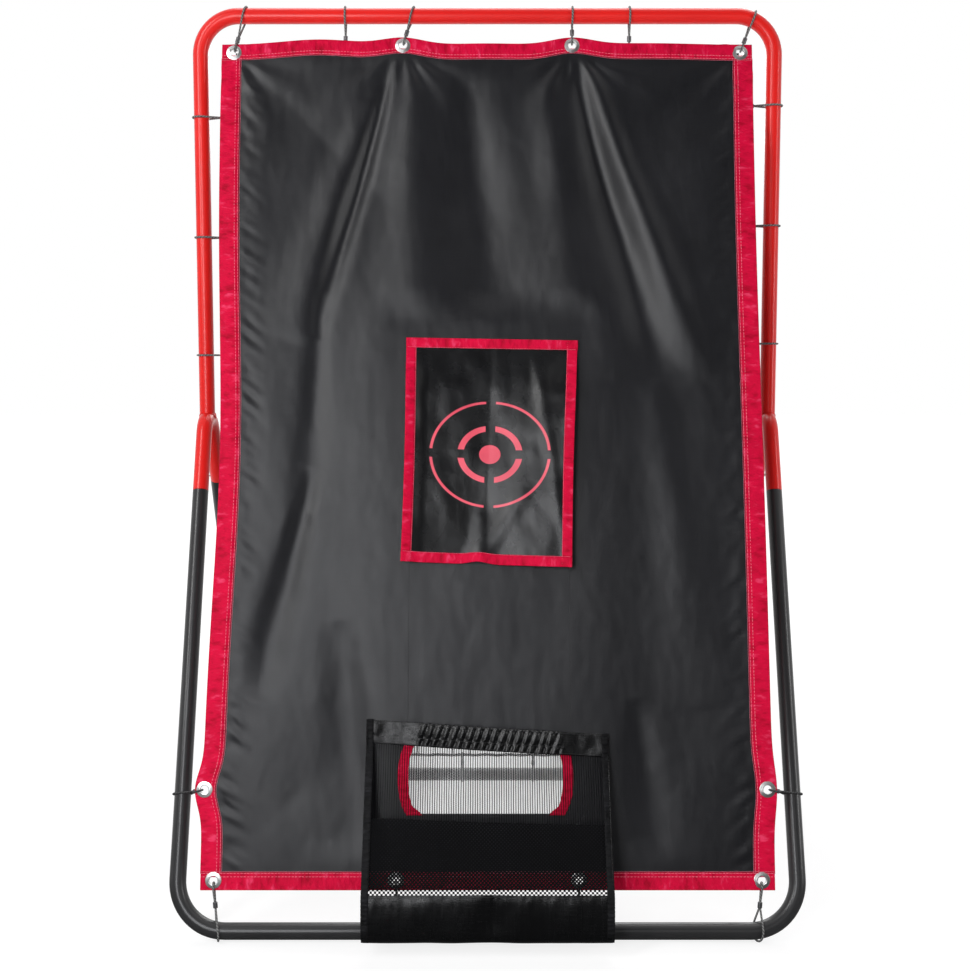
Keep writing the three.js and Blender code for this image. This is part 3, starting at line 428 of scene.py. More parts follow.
def ringEdges(verts):
    chosen = set(verts)
    return list({edge for vert in verts for edge in vert.link_edges
                 if edge.verts[0] in chosen and edge.verts[1] in chosen})


def pull(bm, edges, move):
    made = newVerts(bmesh.ops.extrude_edge_only(bm, edges=edges)["geom"])
    bmesh.ops.translate(bm, verts=made, vec=move)
    return ringEdges(made)


def turn(bm, edges, centre, axis, angle, steps=16):
    geometry = list({vert for edge in edges for vert in edge.verts}) + edges
    last = bmesh.ops.spin(
        bm, geom=geometry, cent=centre, axis=axis, dvec=(0, 0, 0), angle=angle,
        steps=steps, use_merge=False, use_duplicate=False)["geom_last"]
    return ringEdges(newVerts(last))


def roundEdges(bm, edges, offset, segments=2):
    bmesh.ops.bevel(bm, geom=edges, offset=offset, segments=segments, profile=0.5,
                    affect="EDGES", material=-1)


# A profile of [radius, height] pairs turned once round Z
def turned(profile, steps, closed=False):
    bm = bmesh.new()
    verts = [bm.verts.new((radius, 0, height)) for radius, height in profile]
    pairs = list(zip(verts, verts[1:])) + ([(verts[-1], verts[0])] if closed else [])
    edges = [bm.edges.new(pair) for pair in pairs]
    bmesh.ops.spin(bm, geom=verts + edges, cent=(0, 0, 0), axis=(0, 0, 1), dvec=(0, 0, 0),
                   angle=2 * math.pi, steps=steps, use_merge=True, use_duplicate=False)
    bmesh.ops.remove_doubles(bm, verts=bm.verts, dist=0.001)
    return bm


def joined(parts):
    whole = bmesh.new()
    carrier = bpy.data.meshes.new("carrier")
    for part in parts:
        part.to_mesh(carrier)
        part.free()
        whole.from_mesh(carrier)
    bpy.data.meshes.remove(carrier)
    return whole


# A flat cut keeps its places in metres as its UV map
def mapFlat(bm, uvOf=lambda vert: vert.co.xy * 0.001):
    uvLayer = bm.loops.layers.uv.new("UVMap")
    for face in bm.faces:
        for loop in face.loops:
            loop[uvLayer].uv = uvOf(loop.vert)


# A grid over two ranges whose points go where `place(across, down)` puts them
def mappedGrid(acrossRange, downRange, columns, rows, place, cuts=None):
    bm = bmesh.new()
    bmesh.ops.create_grid(bm, x_segments=columns, y_segments=rows, size=1)
    for vert in bm.verts:
        vert.co = (between(*acrossRange, (vert.co.x + 1) / 2),
                   between(*downRange, (vert.co.y + 1) / 2), 0)
    if cuts:
        cuts(bm)
    mapFlat(bm)
    for vert in bm.verts:
        vert.co = place(vert.co.x, vert.co.y)
    return bm


# Takes out the faces round a point of the flat cut and draws their rim into a circle
def punch(bm, centre, radius):
    inside = [face for face in bm.faces
              if (face.calc_center_median().xy - centre).length < radius]
    bmesh.ops.delete(bm, geom=inside, context="FACES")
    for vert in bm.verts:
        apart = vert.co.xy - centre
        if apart.length < radius:
            vert.co.xy = centre + apart.normalized() * radius


def smoothRoute(points, steps):
    last = len(points) - 1
    route = []
    for k in range(last):
        a, b, c, d = [points[min(max(k + n, 0), last)] for n in (-1, 0, 1, 2)]
        for step in range(steps):
            t = step / steps
            route.append(0.5 * (2 * b + (c - a) * t + (2 * a - 5 * b + 4 * c - d) * t ** 2
                                + (3 * b - a - 3 * c + d) * t ** 3))
    route.append(points[-1].copy())
    return route


def lengthsAlong(points):
    reach = [0.0]
    for before, after in zip(points, points[1:]):
        reach.append(reach[-1] + (after - before).length)
    return reach


# A round cord along a route. Its UV map runs once round the cord and along it in metres.
def cordAlong(route, radius, sides, closed=False):
    points = route + [route[0]] if closed else route
    count = len(points) - 1
    reach = lengthsAlong(points)
    side = None
    frames = []
    for k, point in enumerate(points):
        if closed and k in (0, count):
            tangent = (points[1] - points[count - 1]).normalized()
        else:
            tangent = (points[min(k + 1, count)] - points[max(k - 1, 0)]).normalized()
        if side is None:
            side = tangent.orthogonal()
        side = (side - side.dot(tangent) * tangent).normalized()
        frames.append((point, side.copy(), tangent.cross(side)))
    if closed:
        frames[-1] = frames[0]
    bm = bmesh.new()
    bmesh.ops.create_grid(bm, x_segments=sides, y_segments=count, size=1)

    def stepOf(vert):
        return round((vert.co.y + 1) / 2 * count)

    mapFlat(bm, lambda vert: ((vert.co.x + 1) / 2, reach[stepOf(vert)] * 0.001))
    for vert in bm.verts:
        angle = math.pi * (vert.co.x + 1)
        point, first, second = frames[stepOf(vert)]
        vert.co = point + (first * math.cos(angle) + second * math.sin(angle)) * radius
    bmesh.ops.remove_doubles(bm, verts=bm.verts, dist=radius * 0.01)
    rims = [edge for edge in bm.edges if edge.is_boundary]
    bmesh.ops.holes_fill(bm, edges=rims, sides=0)
    return bm


tubes = {
    "radius": 16, "wall": 1.5, "width": 1187, "apex": 1030, "legSpread": 429, "upperRise": 759,
    "upperSetback": 32, "topCorner": 80, "footCorner": 95, "bracketBend": 45, "legJoint": 231,
    "upperJoint": 88, "footLift": 4, "sides": 48, "neck": 60, "neckBack": 8, "gap": 0.3,
    "edge": 0.7,
}
tubeBore = tubes["radius"] - tubes["wall"]
halfFrame = tubes["width"] / 2
legDrop = tubes["apex"] - tubes["radius"] - tubes["footLift"]
legTurn = math.atan2(tubes["legSpread"], legDrop)
legLength = math.hypot(tubes["legSpread"], legDrop)
upperTurn = math.pi - math.atan2(tubes["upperSetback"], tubes["upperRise"])
upperLength = math.hypot(tubes["upperRise"], tubes["upperSetback"])
apexPoint = Vector((0, 0, tubes["apex"]))
tubeSharp = 35


def tubeFrame(turnFromDown):
    return Matrix.Translation(apexPoint) @ Matrix.Rotation(turnFromDown, 4, "X")


def onFrame(turnFromDown, x, distance):
    return Matrix.Rotation(turnFromDown, 3, "X") @ Vector((x, 0, -distance)) + apexPoint


def bentU(bm, length, joint, corner, radius):
    start = bmesh.ops.create_circle(bm, segments=tubes["sides"], radius=radius,
                                    matrix=Matrix.Translation((-halfFrame, 0, -joint)))
    first = ringEdges(start["verts"])
    run = length - corner - joint
    edges = pull(bm, first, (0, 0, -run))
    edges = turn(bm, edges, (corner - halfFrame, 0, corner - length), (0, 1, 0), -math.pi / 2)
    edges = pull(bm, edges, (2 * (halfFrame - corner), 0, 0))
    edges = turn(bm, edges, (halfFrame - corner, 0, corner - length), (0, 1, 0), -math.pi / 2)
    return first, pull(bm, edges, (0, 0, run))


def neckShell(x, joint):
    outer = tubeBore - tubes["gap"]
    inner = outer - tubes["wall"]
    back, tip = -tubes["neckBack"], tubes["neck"]
    neck = turned([(inner, back), (outer, back), (outer, tip - 2), (outer - 1, tip), (inner, tip)],
                  32, closed=True)
    neck.transform(Matrix.Translation((x, 0, -joint)))
    return neck


def frameU(name, turnFromDown, length, joint, corner, finish, node):
    bm = bmesh.new()
    outside, inside = [bentU(bm, length, joint + tubes["gap"], corner, radius)
                       for radius in (tubes["radius"], tubeBore)]
    for outer, inner in zip(outside, inside):
        bmesh.ops.bridge_loops(bm, edges=outer + inner)
    roundEdges(bm, [edge for ring in outside for edge in ring if edge.is_valid], tubes["edge"])
    bm = joined([bm, neckShell(-halfFrame, joint), neckShell(halfFrame, joint)])
    bm.transform(millimetres @ tubeFrame(turnFromDown))
    addPiece(name, bm, finish, [node], sharp=tubeSharp)


frameU("frontLegs", -legTurn, legLength, tubes["legJoint"], tubes["footCorner"],
       "glossBlack", "front_legs")
frameU("rearLegs", legTurn, legLength, tubes["legJoint"], tubes["footCorner"],
       "glossBlack", "rear_legs")
frameU("upperFrame", upperTurn, upperLength, tubes["upperJoint"], tubes["topCorner"],
       "glossRed", "upper_frame")


def drill(piece, tools):
    cutter = bpy.data.objects.new("cutter", bpy.data.meshes.new("cutter"))
    scene.collection.objects.link(cutter)
    whole = joined(tools)
    whole.to_mesh(cutter.data)
    whole.free()
    holes = piece.modifiers.new("holes", "BOOLEAN")
    holes.operation = "DIFFERENCE"
    holes.object = cutter
    drilled = bpy.data.meshes.new_from_object(
        piece.evaluated_get(bpy.context.evaluated_depsgraph_get()))
    piece.modifiers.clear()
    piece.data = drilled
    bpy.data.objects.remove(cutter)
    drilled.set_sharp_from_angle(angle=math.radians(tubeSharp))


buttons = {
    "radius": 4, "fit": 0.5, "setback": 12, "spring": 9, "leaf": 0.8, "drillMiddle": 17,
    "drillLength": 14,
}
# Each joint of a side: which way the tube runs, how far from the apex, where its button faces
joints = [
    ("front_legs", -legTurn, tubes["legJoint"], lambda side: math.pi / 2),
    ("rear_legs", legTurn, tubes["legJoint"], lambda side: math.pi if side < 0 else 0),
    ("upper_frame", upperTurn, tubes["upperJoint"], lambda side: -math.pi / 2),
]


def buttonFrame(side, turnFromDown, joint, facing):
    return (tubeFrame(turnFromDown)
            @ Matrix.Translation((side * halfFrame, 0, buttons["setback"] - joint))
            @ Matrix.Rotation(facing, 4, "Z") @ Matrix.Rotation(math.pi / 2, 4, "Y"))


def bracketPiece(name, side, node):
    x = side * halfFrame
    bend = tubes["bracketBend"]
    straight = tubes["legJoint"] - bend / math.tan(legTurn)
    centre = Vector((x, 0, tubes["apex"] - bend / math.sin(legTurn)))
    bm = bmesh.new()
    rings = []
    start = tubeFrame(-legTurn) @ Matrix.Translation((x, 0, -tubes["legJoint"]))
    up = Vector((0, math.sin(legTurn), math.cos(legTurn)))
    down = Vector((0, math.sin(legTurn), -math.cos(legTurn)))
    # A loop past the button's hole, so that the drill meets short faces only
    first = 26
    for radius in (tubes["radius"], tubeBore):
        ring = ringEdges(bmesh.ops.create_circle(bm, segments=tubes["sides"], radius=radius,
                                                 matrix=start)["verts"])
        edges = pull(bm, pull(bm, ring, up * first), up * (straight - first))
        edges = turn(bm, edges, centre, (1, 0, 0), 2 * legTurn - math.pi, 20)
        edges = pull(bm, pull(bm, edges, down * (straight - first)), down * first)
        rings.append((ring, edges))
    for outer, inner in zip(*rings):
        bmesh.ops.bridge_loops(bm, edges=outer + inner)
    roundEdges(bm, [edge for ring in rings[0] for edge in ring if edge.is_valid], tubes["edge"])
    # The socket for the upper frame stands in a fish mouth on the bend
    low = centre.z + bend - tubes["apex"]
    outer, rim = tubes["radius"], tubes["upperJoint"]
    socket = turned([(tubeBore, low + 17), (outer, low), (outer, 62), (outer, rim - tubes["edge"]),
                     (outer - tubes["edge"], rim), (tubeBore, rim)], tubes["sides"], closed=True)
    socket.transform(Matrix.Translation((x, 0, tubes["apex"]))
                     @ Matrix.Rotation(upperTurn - math.pi, 4, "X"))
    bead = []
    beadSteps = 72
    for k in range(beadSteps):
        angle = 2 * math.pi * k / beadSteps
        sideways = outer * math.cos(angle)
        ahead = outer * math.sin(angle)
        reach = bend + math.sqrt(max(outer ** 2 - sideways ** 2, 0))
        rise = math.sqrt(reach ** 2 - ahead ** 2) + 0.6
        ripple = 0.35 * math.sin(angle * 24) + 0.25 * waver(k * 0.4, side)
        bead.append(centre + Vector((sideways * 1.015, ahead * 1.03, rise + ripple)))
    weld = cordAlong(bead, 1.9, 10, closed=True)
    bm = joined([bm, socket, weld])
    bm.transform(millimetres)
    piece = addPiece(name, bm, "glossRed", [node], sharp=tubeSharp)
    tools = []
    bore = buttons["radius"] + buttons["fit"]
    for _, turnFromDown, joint, facing in joints:
        tool = bmesh.new()
        bmesh.ops.create_cone(tool, cap_ends=True, segments=24, radius1=bore, radius2=bore,
                              depth=buttons["drillLength"],
                              matrix=Matrix.Translation((0, 0, buttons["drillMiddle"])))
        tool.transform(millimetres @ buttonFrame(side, turnFromDown, joint, facing(side)))
        tools.append(tool)
    drill(piece, tools)


def buttonPiece(name, side, turnFromDown, joint, facing, node):
    radius, leaf = buttons["radius"], buttons["leaf"]
    stem = turned([(0, 10.7), (radius, 10.7), (radius, 16.9), (radius - 0.3, 18),
                   (radius - 1.1, 18.7), (radius - 2.4, 19), (0, 19)], 32)
    spring = bmesh.new()
    outline = [(11.1, -8), (11.1 - leaf, -8), (11.1 - leaf, 8), (4, 26 - leaf), (2, 26 - leaf),
               (-6.3 + leaf, -8), (-6.3, -8), (1.4, 26), (4.6, 26), (11.1, 8)]
    width = buttons["spring"]
    face = spring.faces.new([spring.verts.new((x, -width / 2, z)) for z, x in outline])
    made = newVerts(bmesh.ops.extrude_face_region(spring, geom=[face])["geom"])
    bmesh.ops.translate(spring, verts=made, vec=(0, width, 0))
    roundEdges(spring, list(spring.edges), 0.12, 1)
    bm = joined([stem, spring])
    bm.transform(millimetres @ buttonFrame(side, turnFromDown, joint, facing(side)))
    addPiece(name, bm, "zinc", [node], body=node + "_body", sharp=30)


for sideName, side in (("left", -1), ("right", 1)):
    bracketPiece(sideName + "Bracket", side, sideName + "_bracket")
    for frameName, turnFromDown, joint, facing in joints:
        camelName = sideName + frameName.title().replace("_", "")
        buttonPiece(camelName + "Button", side, turnFromDown, joint, facing,
                    f"{sideName}_{frameName}_button")
print("tube frame done")


sheet = {
    "width": 1090, "length": 1686, "topHeight": 1727.3, "topSetback": 15.2, "tilt": 14.87,
    "sideHem": 40, "endHem": 34, "thickness": 0.9, "leaf": 1.2, "tape": 0.8, "sag": 16,
    "columns": 160, "rows": 244, "flapMiddle": 3, "strip": 182, "stripTop": 588, "proud": 8,
}
# How far each eyelet sits from the edge, and the holes for it in cloth and tape
eyelets = {"inset": 17, "inner": 174, "corner": 521, "sideDrop": 1500, "hole": 11, "tapeHole": 10.5}
halfSheet = sheet["width"] / 2
sheetTurn = Matrix.Rotation(-math.radians(sheet["tilt"]), 4, "X")
sheetOrigin = Vector((0, sheet["topSetback"], sheet["topHeight"]))
sheetFrame = millimetres @ Matrix.Translation(sheetOrigin) @ sheetTurn
endRow = (-eyelets["corner"], -eyelets["inner"], eyelets["inner"], eyelets["corner"])
sideColumn = halfSheet - eyelets["inset"]
grommetPlaces = {f"top_{k + 1}": (u, eyelets["inset"]) for k, u in enumerate(endRow)}
grommetPlaces["left"] = (-sideColumn, eyelets["sideDrop"])
grommetPlaces["right"] = (sideColumn, eyelets["sideDrop"])
grommetPlaces.update({f"bottom_{k + 1}": (u, sheet["length"] - eyelets["inset"])
                      for k, u in enumerate(endRow)})

# Main folds from (across, drop) to (across, drop), with depth and spread. A depth above
# zero is a valley.
folds = [
    ((-192, 40), (-352, 610), 15, 16),
    ((-336, 520), (-364, 960), 8, 24),
    ((-352, 880), (-455, 1330), 13, 26),
    ((-165, 50), (-140, 700), -11, 50),
    ((-48, 50), (28, 720), 15, 52),
    ((118, 50), (200, 700), -12, 46),
    ((172, 40), (352, 700), 16, 26),
    ((200, 40), (440, 700), -13, 27),
    ((-250, 120), (-400, 620), -6, 34),
    ((-505, 80), (-520, 1250), 6, 24),
    ((330, 700), (420, 1350), -7, 42),
    ((-290, 1180), (-240, 1640), 9, 46),
    ((285, 1330), (330, 1650), 8, 30),
]


def foldDepth(fold, u, drop):
    (startU, startDrop), (endU, endDrop), depth, spread = fold
    alongU, alongDrop = endU - startU, endDrop - startDrop
    length = math.hypot(alongU, alongDrop)
    x, y = u - startU, drop - startDrop
    t = (x * alongU + y * alongDrop) / length ** 2
    if t <= 0 or t >= 1:
        return 0
    distance = (x * alongDrop - y * alongU) / length
    return depth * math.sin(math.pi * t) ** 0.6 * bump(distance, spread * (0.6 + t))


# Small wrinkles that the eyelets and seams pull into the cloth
def wrinkles(u, drop, free):
    total = 2.2 * waver(u / 120, drop / 300, 3) * free
    for middle in endRow:
        x, y = u - middle, drop - eyelets["inset"]
        reach = math.hypot(x, y)
        if reach < 220 and y > 0:
            angle = math.atan2(x, y)
            total += (4.5 * math.sin(angle * 11 + middle) * math.exp(-reach / 85)
                      * smoothStep(reach, 14, 60) * smoothStep(drop, sheet["endHem"], 60))
    fromSeam = halfSheet - abs(u) - sheet["sideHem"]
    if 0 < fromSeam < 70:
        total += (3.4 * waver((drop - 0.7 * fromSeam) / 17, u / 60 + 7) * bump(fromSeam - 12, 26)
                  * smoothStep(fromSeam, 0, 10))
    return total


# Where a point of the cut cloth hangs: across, back from the sheet's plane, and up
def hang(u, drop):
    inset = min(halfSheet - abs(u) - sheet["sideHem"], drop - sheet["endHem"],
                sheet["length"] - sheet["endHem"] - drop)
    beside = math.hypot(max(abs(u - sheet["flapMiddle"]) - sheet["strip"], 0),
                        max(sheet["stripTop"] - drop, 0))
    free = smoothStep(inset, 0, 70) * smoothStep(beside, 0, 80)
    deep = sheet["sag"] * smoothStep(inset, 0, 330) * smoothStep(beside, 0, 300)
    deep += sum(foldDepth(fold, u, drop) for fold in folds) * free
    deep = max(deep, -sheet["proud"] * free) + (wrinkles(u, drop, free) if beside > 0 else 0)
    # The side edges bow in between their ties, and the top edge hangs from its eyelets
    fromEyelet = drop - eyelets["sideDrop"]
    if u < 0:
        side = 17 * bump(drop - 850, 380) - 15 * bump(fromEyelet, 45)
    else:
        side = -4 * bump(drop - 400, 420) + 8 * bump(fromEyelet, 60)
    lift = 15 * (bump(u + eyelets["inner"], 60) + bump(u - eyelets["inner"], 60)) + 3 * bump(u, 90)
    lift += 11.5 * bump(u + 345, 105) + 3.5 * bump(u - 330, 120)
    lift *= 1 - smoothStep(drop, sheet["endHem"], 260)
    nearSide = smoothStep(abs(u), halfSheet - 300, halfSheet - sheet["sideHem"])
    return Vector((u + side * nearSide, deep, lift - drop))


flap = {
    "width": 334, "height": 448, "drop": 620, "seat": 1.1, "binding": 21,
    "corners": ((-160.7, 617), (178.7, 623), (162.5, 1074), (-167.6, 1062)),
    "hole": (280, 380), "bend": (4, 48), "panel": 0.7, "tape": 0.6, "air": 1.5,
}
# How far the flap stands out: at its left border, over its left half and over its right half
flapOut = {"border": 12.0, "left": 7.0, "right": 22.0}
window = {
    "width": 270, "cut": 302, "height": 135, "middle": -4, "drop": 1478, "bow": 15, "tape": 18,
    "corner": 16, "cornerDip": 9,
}


def facesWithin(bm, u, drop, halfWidth, halfHeight):
    return [face for face in bm.faces
            if abs(face.calc_center_median().x - u) < halfWidth
            and abs(face.calc_center_median().y - drop) < halfHeight]


def cutOpenings(bm):
    margin = 14
    for u, drop, width, height in (
            (sheet["flapMiddle"], flap["drop"] + flap["height"] / 2, *flap["hole"]),
            (window["middle"], window["drop"], window["cut"], window["height"])):
        for normal, middle, half in (((1, 0, 0), u, width / 2), ((0, 1, 0), drop, height / 2)):
            for place in (middle - half, middle + half):
                near = facesWithin(bm, u, drop, width / 2 + margin, height / 2 + margin)
                geometry = {item for face in near for item in (*face.verts, *face.edges, face)}
                bmesh.ops.bisect_plane(
                    bm, geom=list(geometry), dist=0.01,
                    plane_co=[place * part for part in normal], plane_no=normal)
        bmesh.ops.delete(bm, geom=facesWithin(bm, u, drop, width / 2, height / 2), context="FACES")
    for grommet in grommetPlaces.values():
        punch(bm, Vector(grommet), eyelets["hole"])


bm = mappedGrid((-halfSheet, halfSheet), (0, sheet["length"]), sheet["columns"], sheet["rows"],
                hang, cutOpenings)
netSheet = clothPiece("netSheet", bm, "sheet", ["net_sheet"], sheet["thickness"])


# A tape folded round an edge. `place(along, inset, out)` gives a point of it.
def foldedTape(alongRange, count, width, leaf, place, lift=0.0, holes=()):
    # The columns of the even grid are drawn together at the fold
    def shaped(bm):
        for vert in bm.verts:
            share = vert.co.x / width
            vert.co.x = width * share * (0.3 + 0.7 * share * share)
        for along, inset in holes:
            for side in (-1, 1):
                punch(bm, Vector((side * inset, along)), eyelets["tapeHole"])

    foldWidth = 2.2

    def section(across, along):
        arc = max(min(across / foldWidth, 1), -1) * math.pi / 2
        inset = max(abs(across) - foldWidth, 0) - (leaf + 0.1) * math.cos(arc)
        rise = lift * bump(abs(across) - width * 0.5, width * 0.35)
        return place(along, inset, -(leaf + rise) * math.sin(arc))

    return mappedGrid((-width, width), alongRange, 18, count, section, shaped)


# A thread that dips into the cloth once in each pitch of its route
def threadAlong(route, pitch, radius, height, facing):
    perMillimetre = 2 * math.pi / pitch
    points = [point + facing * (height * math.cos(reach * perMillimetre) - 0.1)
              for point, reach in zip(route, lengthsAlong(route))]
    return cordAlong(points, radius, 4)


def stepped(low, high, step):
    count = max(int(abs(high - low) / step), 1)
    return [between(low, high, k / count) for k in range(count + 1)]


backward = Vector((0, 1, 0))


# A tucked tape runs a little way under the tapes across its ends
def edgeTape(name, width, span, place, holes, tucked):
    def outwards(along, inset, out):
        slant = waver((along + 0.9 * inset) / 10, (inset - along * 0.3) / 26, 5)
        swell = (max(slant + 0.25, 0) * smoothStep(inset, 2, 10)
                 * (1 - smoothStep(inset, width - 12, width - 9)))
        if tucked:
            under = 1 - smoothStep(min(along, sheet["length"] - along), 33, 38)
            out, swell = out * (1 - 0.65 * under), swell * (1 - under)
        if abs(out) > 0.4:
            out += math.copysign(swell, out)
        return place(along, inset) + backward * out

    tape = foldedTape(span, int(abs(span[1] - span[0]) / 5), width, sheet["leaf"], outwards,
                      0.25, holes)
    piece = clothPiece(name + "Hem", tape, "redTape", [name + "_hem"], sheet["tape"])
    seams = []
    # Two rows of stitches, and the thread that locks the cut edge
    for inset, pitch, radius in (
            (width - 4, 6.5, 0.7), (width - 10.5, 6.5, 0.7), (width - 0.6, 3.0, 0.35)):
        route = [place(along, inset) for along in stepped(*span, 1.5)]
        for face in (-backward, backward):
            seams.append(threadAlong([point + face * (sheet["leaf"] + 0.6) for point in route],
                                     pitch, radius, 0.6, face))
    stitchPiece(name + "HemStitches", seams, "redThread")
    return piece


ends = (-halfSheet - 0.6, halfSheet + 0.6)
drops = (28.5, sheet["length"] - 28.5)
endHoles = [(u, eyelets["inset"]) for u in endRow]
sideHoles = [(eyelets["sideDrop"], eyelets["inset"])]
hems = [
    edgeTape("top", sheet["endHem"], ends, hang, endHoles, False),
    edgeTape("bottom", sheet["endHem"], ends,
             lambda along, inset: hang(along, sheet["length"] - inset), endHoles, False),
    edgeTape("left", sheet["sideHem"], drops,
             lambda along, inset: hang(inset - halfSheet, along), sideHoles, True),
    edgeTape("right", sheet["sideHem"], drops,
             lambda along, inset: hang(halfSheet - inset, along), sideHoles, True),
]
print("sheet and hems done")

# Half of the section of an eyelet: [radius, distance from the middle of the cloth]
eyelet = [(15.5, 1.75), (15.4, 2.25), (14.2, 2.6), (12.4, 2.75), (10.6, 3.15), (9.5, 3.5),
          (8.6, 3.35), (8.0, 2.7)]
for name, (u, drop) in grommetPlaces.items():
    ring = turned(eyelet + [(8.0, -2.7)] + [(r, -h) for r, h in reversed(eyelet[:-1])]
                  + [(9.2, -1.75), (9.2, 1.75)], 48, closed=True)
    ring.transform(sheetFrame @ Matrix.Translation(hang(u, drop))
                   @ Matrix.Rotation(math.pi / 2, 4, "X"))
    addPiece(f"eyelet.{name}", ring, "zinc", [f"grommet_{name}"], sharp=50)


def flapPlace(u, drop):
    across = (u - sheet["flapMiddle"]) / flap["width"] + 0.5
    down = (drop - flap["drop"]) / flap["height"]
    topLeft, topRight, lowRight, lowLeft = [Vector(corner) for corner in flap["corners"]]
    placed = topLeft.lerp(topRight, across).lerp(lowLeft.lerp(lowRight, across), down)
    placed.x += 3.0 * math.sin(math.pi * down) * (0.5 - across) * 2
    placed.y -= 5.0 * bump(across - 0.45, 0.07) * smoothStep(down, 0.9, 1.0)
    # Soft waves, folds at the lower edge and upper right, and how far each part stands out
    free = smoothStep(down, 0.02, 0.4)
    wave = 3.2 * free * (0.5 + 0.5 * math.sin(across * 7.5 + down * 3.1))
    wave += 6.5 * bump(across - 0.46 - 0.1 * (1 - down), 0.055) * smoothStep(down, 0.72, 1.0)
    wave += 3.5 * bump((across - 0.62) + (down - 0.8) * 0.7, 0.06) * smoothStep(down, 0.45, 0.8)
    wave += 2.2 * (0.5 + 0.5 * waver(across * 5, down * 6, 2)) * free
    wave += 2.0 * bump((across - 0.8) - (down - 0.25) * 0.25, 0.035) * smoothStep(down, 0.02, 0.12)
    wave += flapOut["border"] * (1 - smoothStep(across, 0.0, 0.13)) * smoothStep(down, 0.0, 0.2)
    slope = (flapOut["left"] * max(0.5 - across, 0) + flapOut["right"] * max(across - 0.5, 0)) / 0.5
    wave += slope * smoothStep(down, 0.0, 0.25)
    return Vector((placed.x, -(flap["seat"] + flap["air"] + wave), -placed.y))


flapLeft, flapRight = [sheet["flapMiddle"] + way * flap["width"] / 2 for way in (-1, 1)]
flapTop, flapLow = flap["drop"], flap["drop"] + flap["height"]
bm = mappedGrid((flapLeft + 1, flapRight - 1), (flapTop + 1, flapLow - 1), 90, 120, flapPlace)
flapPanel = clothPiece("targetPanel", bm, "flap", ["target_flap"], flap["panel"],
                       body=None)
flapStrips = []
flapSeams = []
# Each tape's span, its leaf and where it lies. The end tapes lie over the side tapes.
for span, leaf, where in (
        ((flapTop, flapLow), 1.05, lambda along, inset: flapPlace(flapLeft + inset, along)),
        ((flapTop, flapLow), 1.05, lambda along, inset: flapPlace(flapRight - inset, along)),
        ((flapLeft - 1.5, flapRight + 2), 1.55,
         lambda along, inset: flapPlace(along, flapTop + inset)),
        ((flapLeft - 1.5, flapRight + 1), 1.55,
         lambda along, inset: flapPlace(along, flapLow - inset))):
    def flapTape(along, inset, out, where=where):
        swell = 0.35 * (0.5 + 0.5 * waver(along / 16, inset / 12, 9)) * smoothStep(inset, 2, 8)
        return where(along, inset) + backward * (out - (swell if out < -0.5 else 0))

    count = int((span[1] - span[0]) / 4)
    flapStrips.append(foldedTape(span, count, flap["binding"], leaf, flapTape, 0.2))
    route = [where(along, flap["binding"] - 3) - backward * (leaf + 0.75)
             for along in stepped(span[0] + 3, span[1] - 3, 1.2)]
    flapSeams.append(threadAlong(route, 4.5, 0.35, 0.4, -backward))
flapTapes = clothPiece("flapBinding", joined(flapStrips), "redTape",
                       ["flap_binding"], flap["tape"], body=None)
flapStitches = stitchPiece("flapBindingStitches", flapSeams, "redThread", body=None)
# Two points below the flap's seam, where the flap bends out from the sheet; each flap piece has its
# place baked into its mesh
bendStart, bendEnd = [sheetFrame @ Vector((sheet["flapMiddle"], 0, -flap["drop"] - below))
                      for below in flap["bend"]]
for piece in (flapPanel, flapTapes, flapStitches):
    tuple(bendStart)
    tuple(bendEnd)
    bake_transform(piece)

# The chute's seams show on the front of the sheet as two rows of dark thread
stitchPiece("chuteSeams", [
    threadAlong([hang(u, drop) - backward * 0.75 for drop in stepped(606, 1376, 1.3)],
                5.0, 0.4, 0.35, -backward) for u in (-153.5, 160)])
print("flap done")


chute = {"width": 340, "flange": 12, "depth": 66, "top": 600, "bottom": 1592, "seat": 1.4}
chuteHalf = chute["width"] / 2


def chutePlace(u, drop):
    share = min(abs(u - sheet["flapMiddle"]) / (chuteHalf - chute["flange"]), 1)
    ends = smoothStep(drop - chute["top"], 10, 75) * smoothStep(chute["bottom"] - drop, 8, 110)
    deep = chute["depth"] * (1 - share ** 8) * ends
    ripple = 1.6 * waver(u / 45, drop / 80, 11) * (1 - share) * ends
    return Vector((u, chute["seat"] + deep + ripple, -drop))


bm = mappedGrid((sheet["flapMiddle"] - chuteHalf, sheet["flapMiddle"] + chuteHalf),
                (chute["top"], chute["bottom"]), 70, 150, chutePlace)
clothPiece("chutePanel", bm, "paleMesh", ["return_chute"], 0.6)


def windowTape(side):
    half, rise = window["width"] / 2, window["height"] / 2

    def place(across, along):
        share = along / rise
        edge = half + window["bow"] * (1 - abs(share) ** 2.6) + across
        # The inner edge turns in at the lower corner
        corner = smoothStep(along, rise - window["corner"], rise)
        edge -= window["cornerDip"] * corner * (1 - across / window["tape"])
        swell = 0.5 * bump(across - window["tape"] / 2, 7)
        swell += 0.3 * waver(along / 12, across / 9, side)
        return Vector((window["middle"] + side * edge, -1.5 - swell, -(window["drop"] + along)))

    return mappedGrid((-2, window["tape"]), (-rise - 3, rise + 3), 12, 60, place)


for sideName, side in (("Left", -1), ("Right", 1)):
    clothPiece("windowTape" + sideName, windowTape(side), "redTape",
               ["window_tape_" + sideName.lower()], 1.0)
print("chute and window done")


pocket = {
    "width": 464, "top": 1382, "skew": 14, "band": 44, "mouth": 22, "seat": 1.4, "cloth": 1.1,
    "gather": (-139, 147), "pleat": 15.5, "seam": (88, 1688),
}
# Stitches on black cloth: pitch, radius and height
blackStitch = (4.2, 0.4, 0.4)
pocketHalf = pocket["width"] / 2


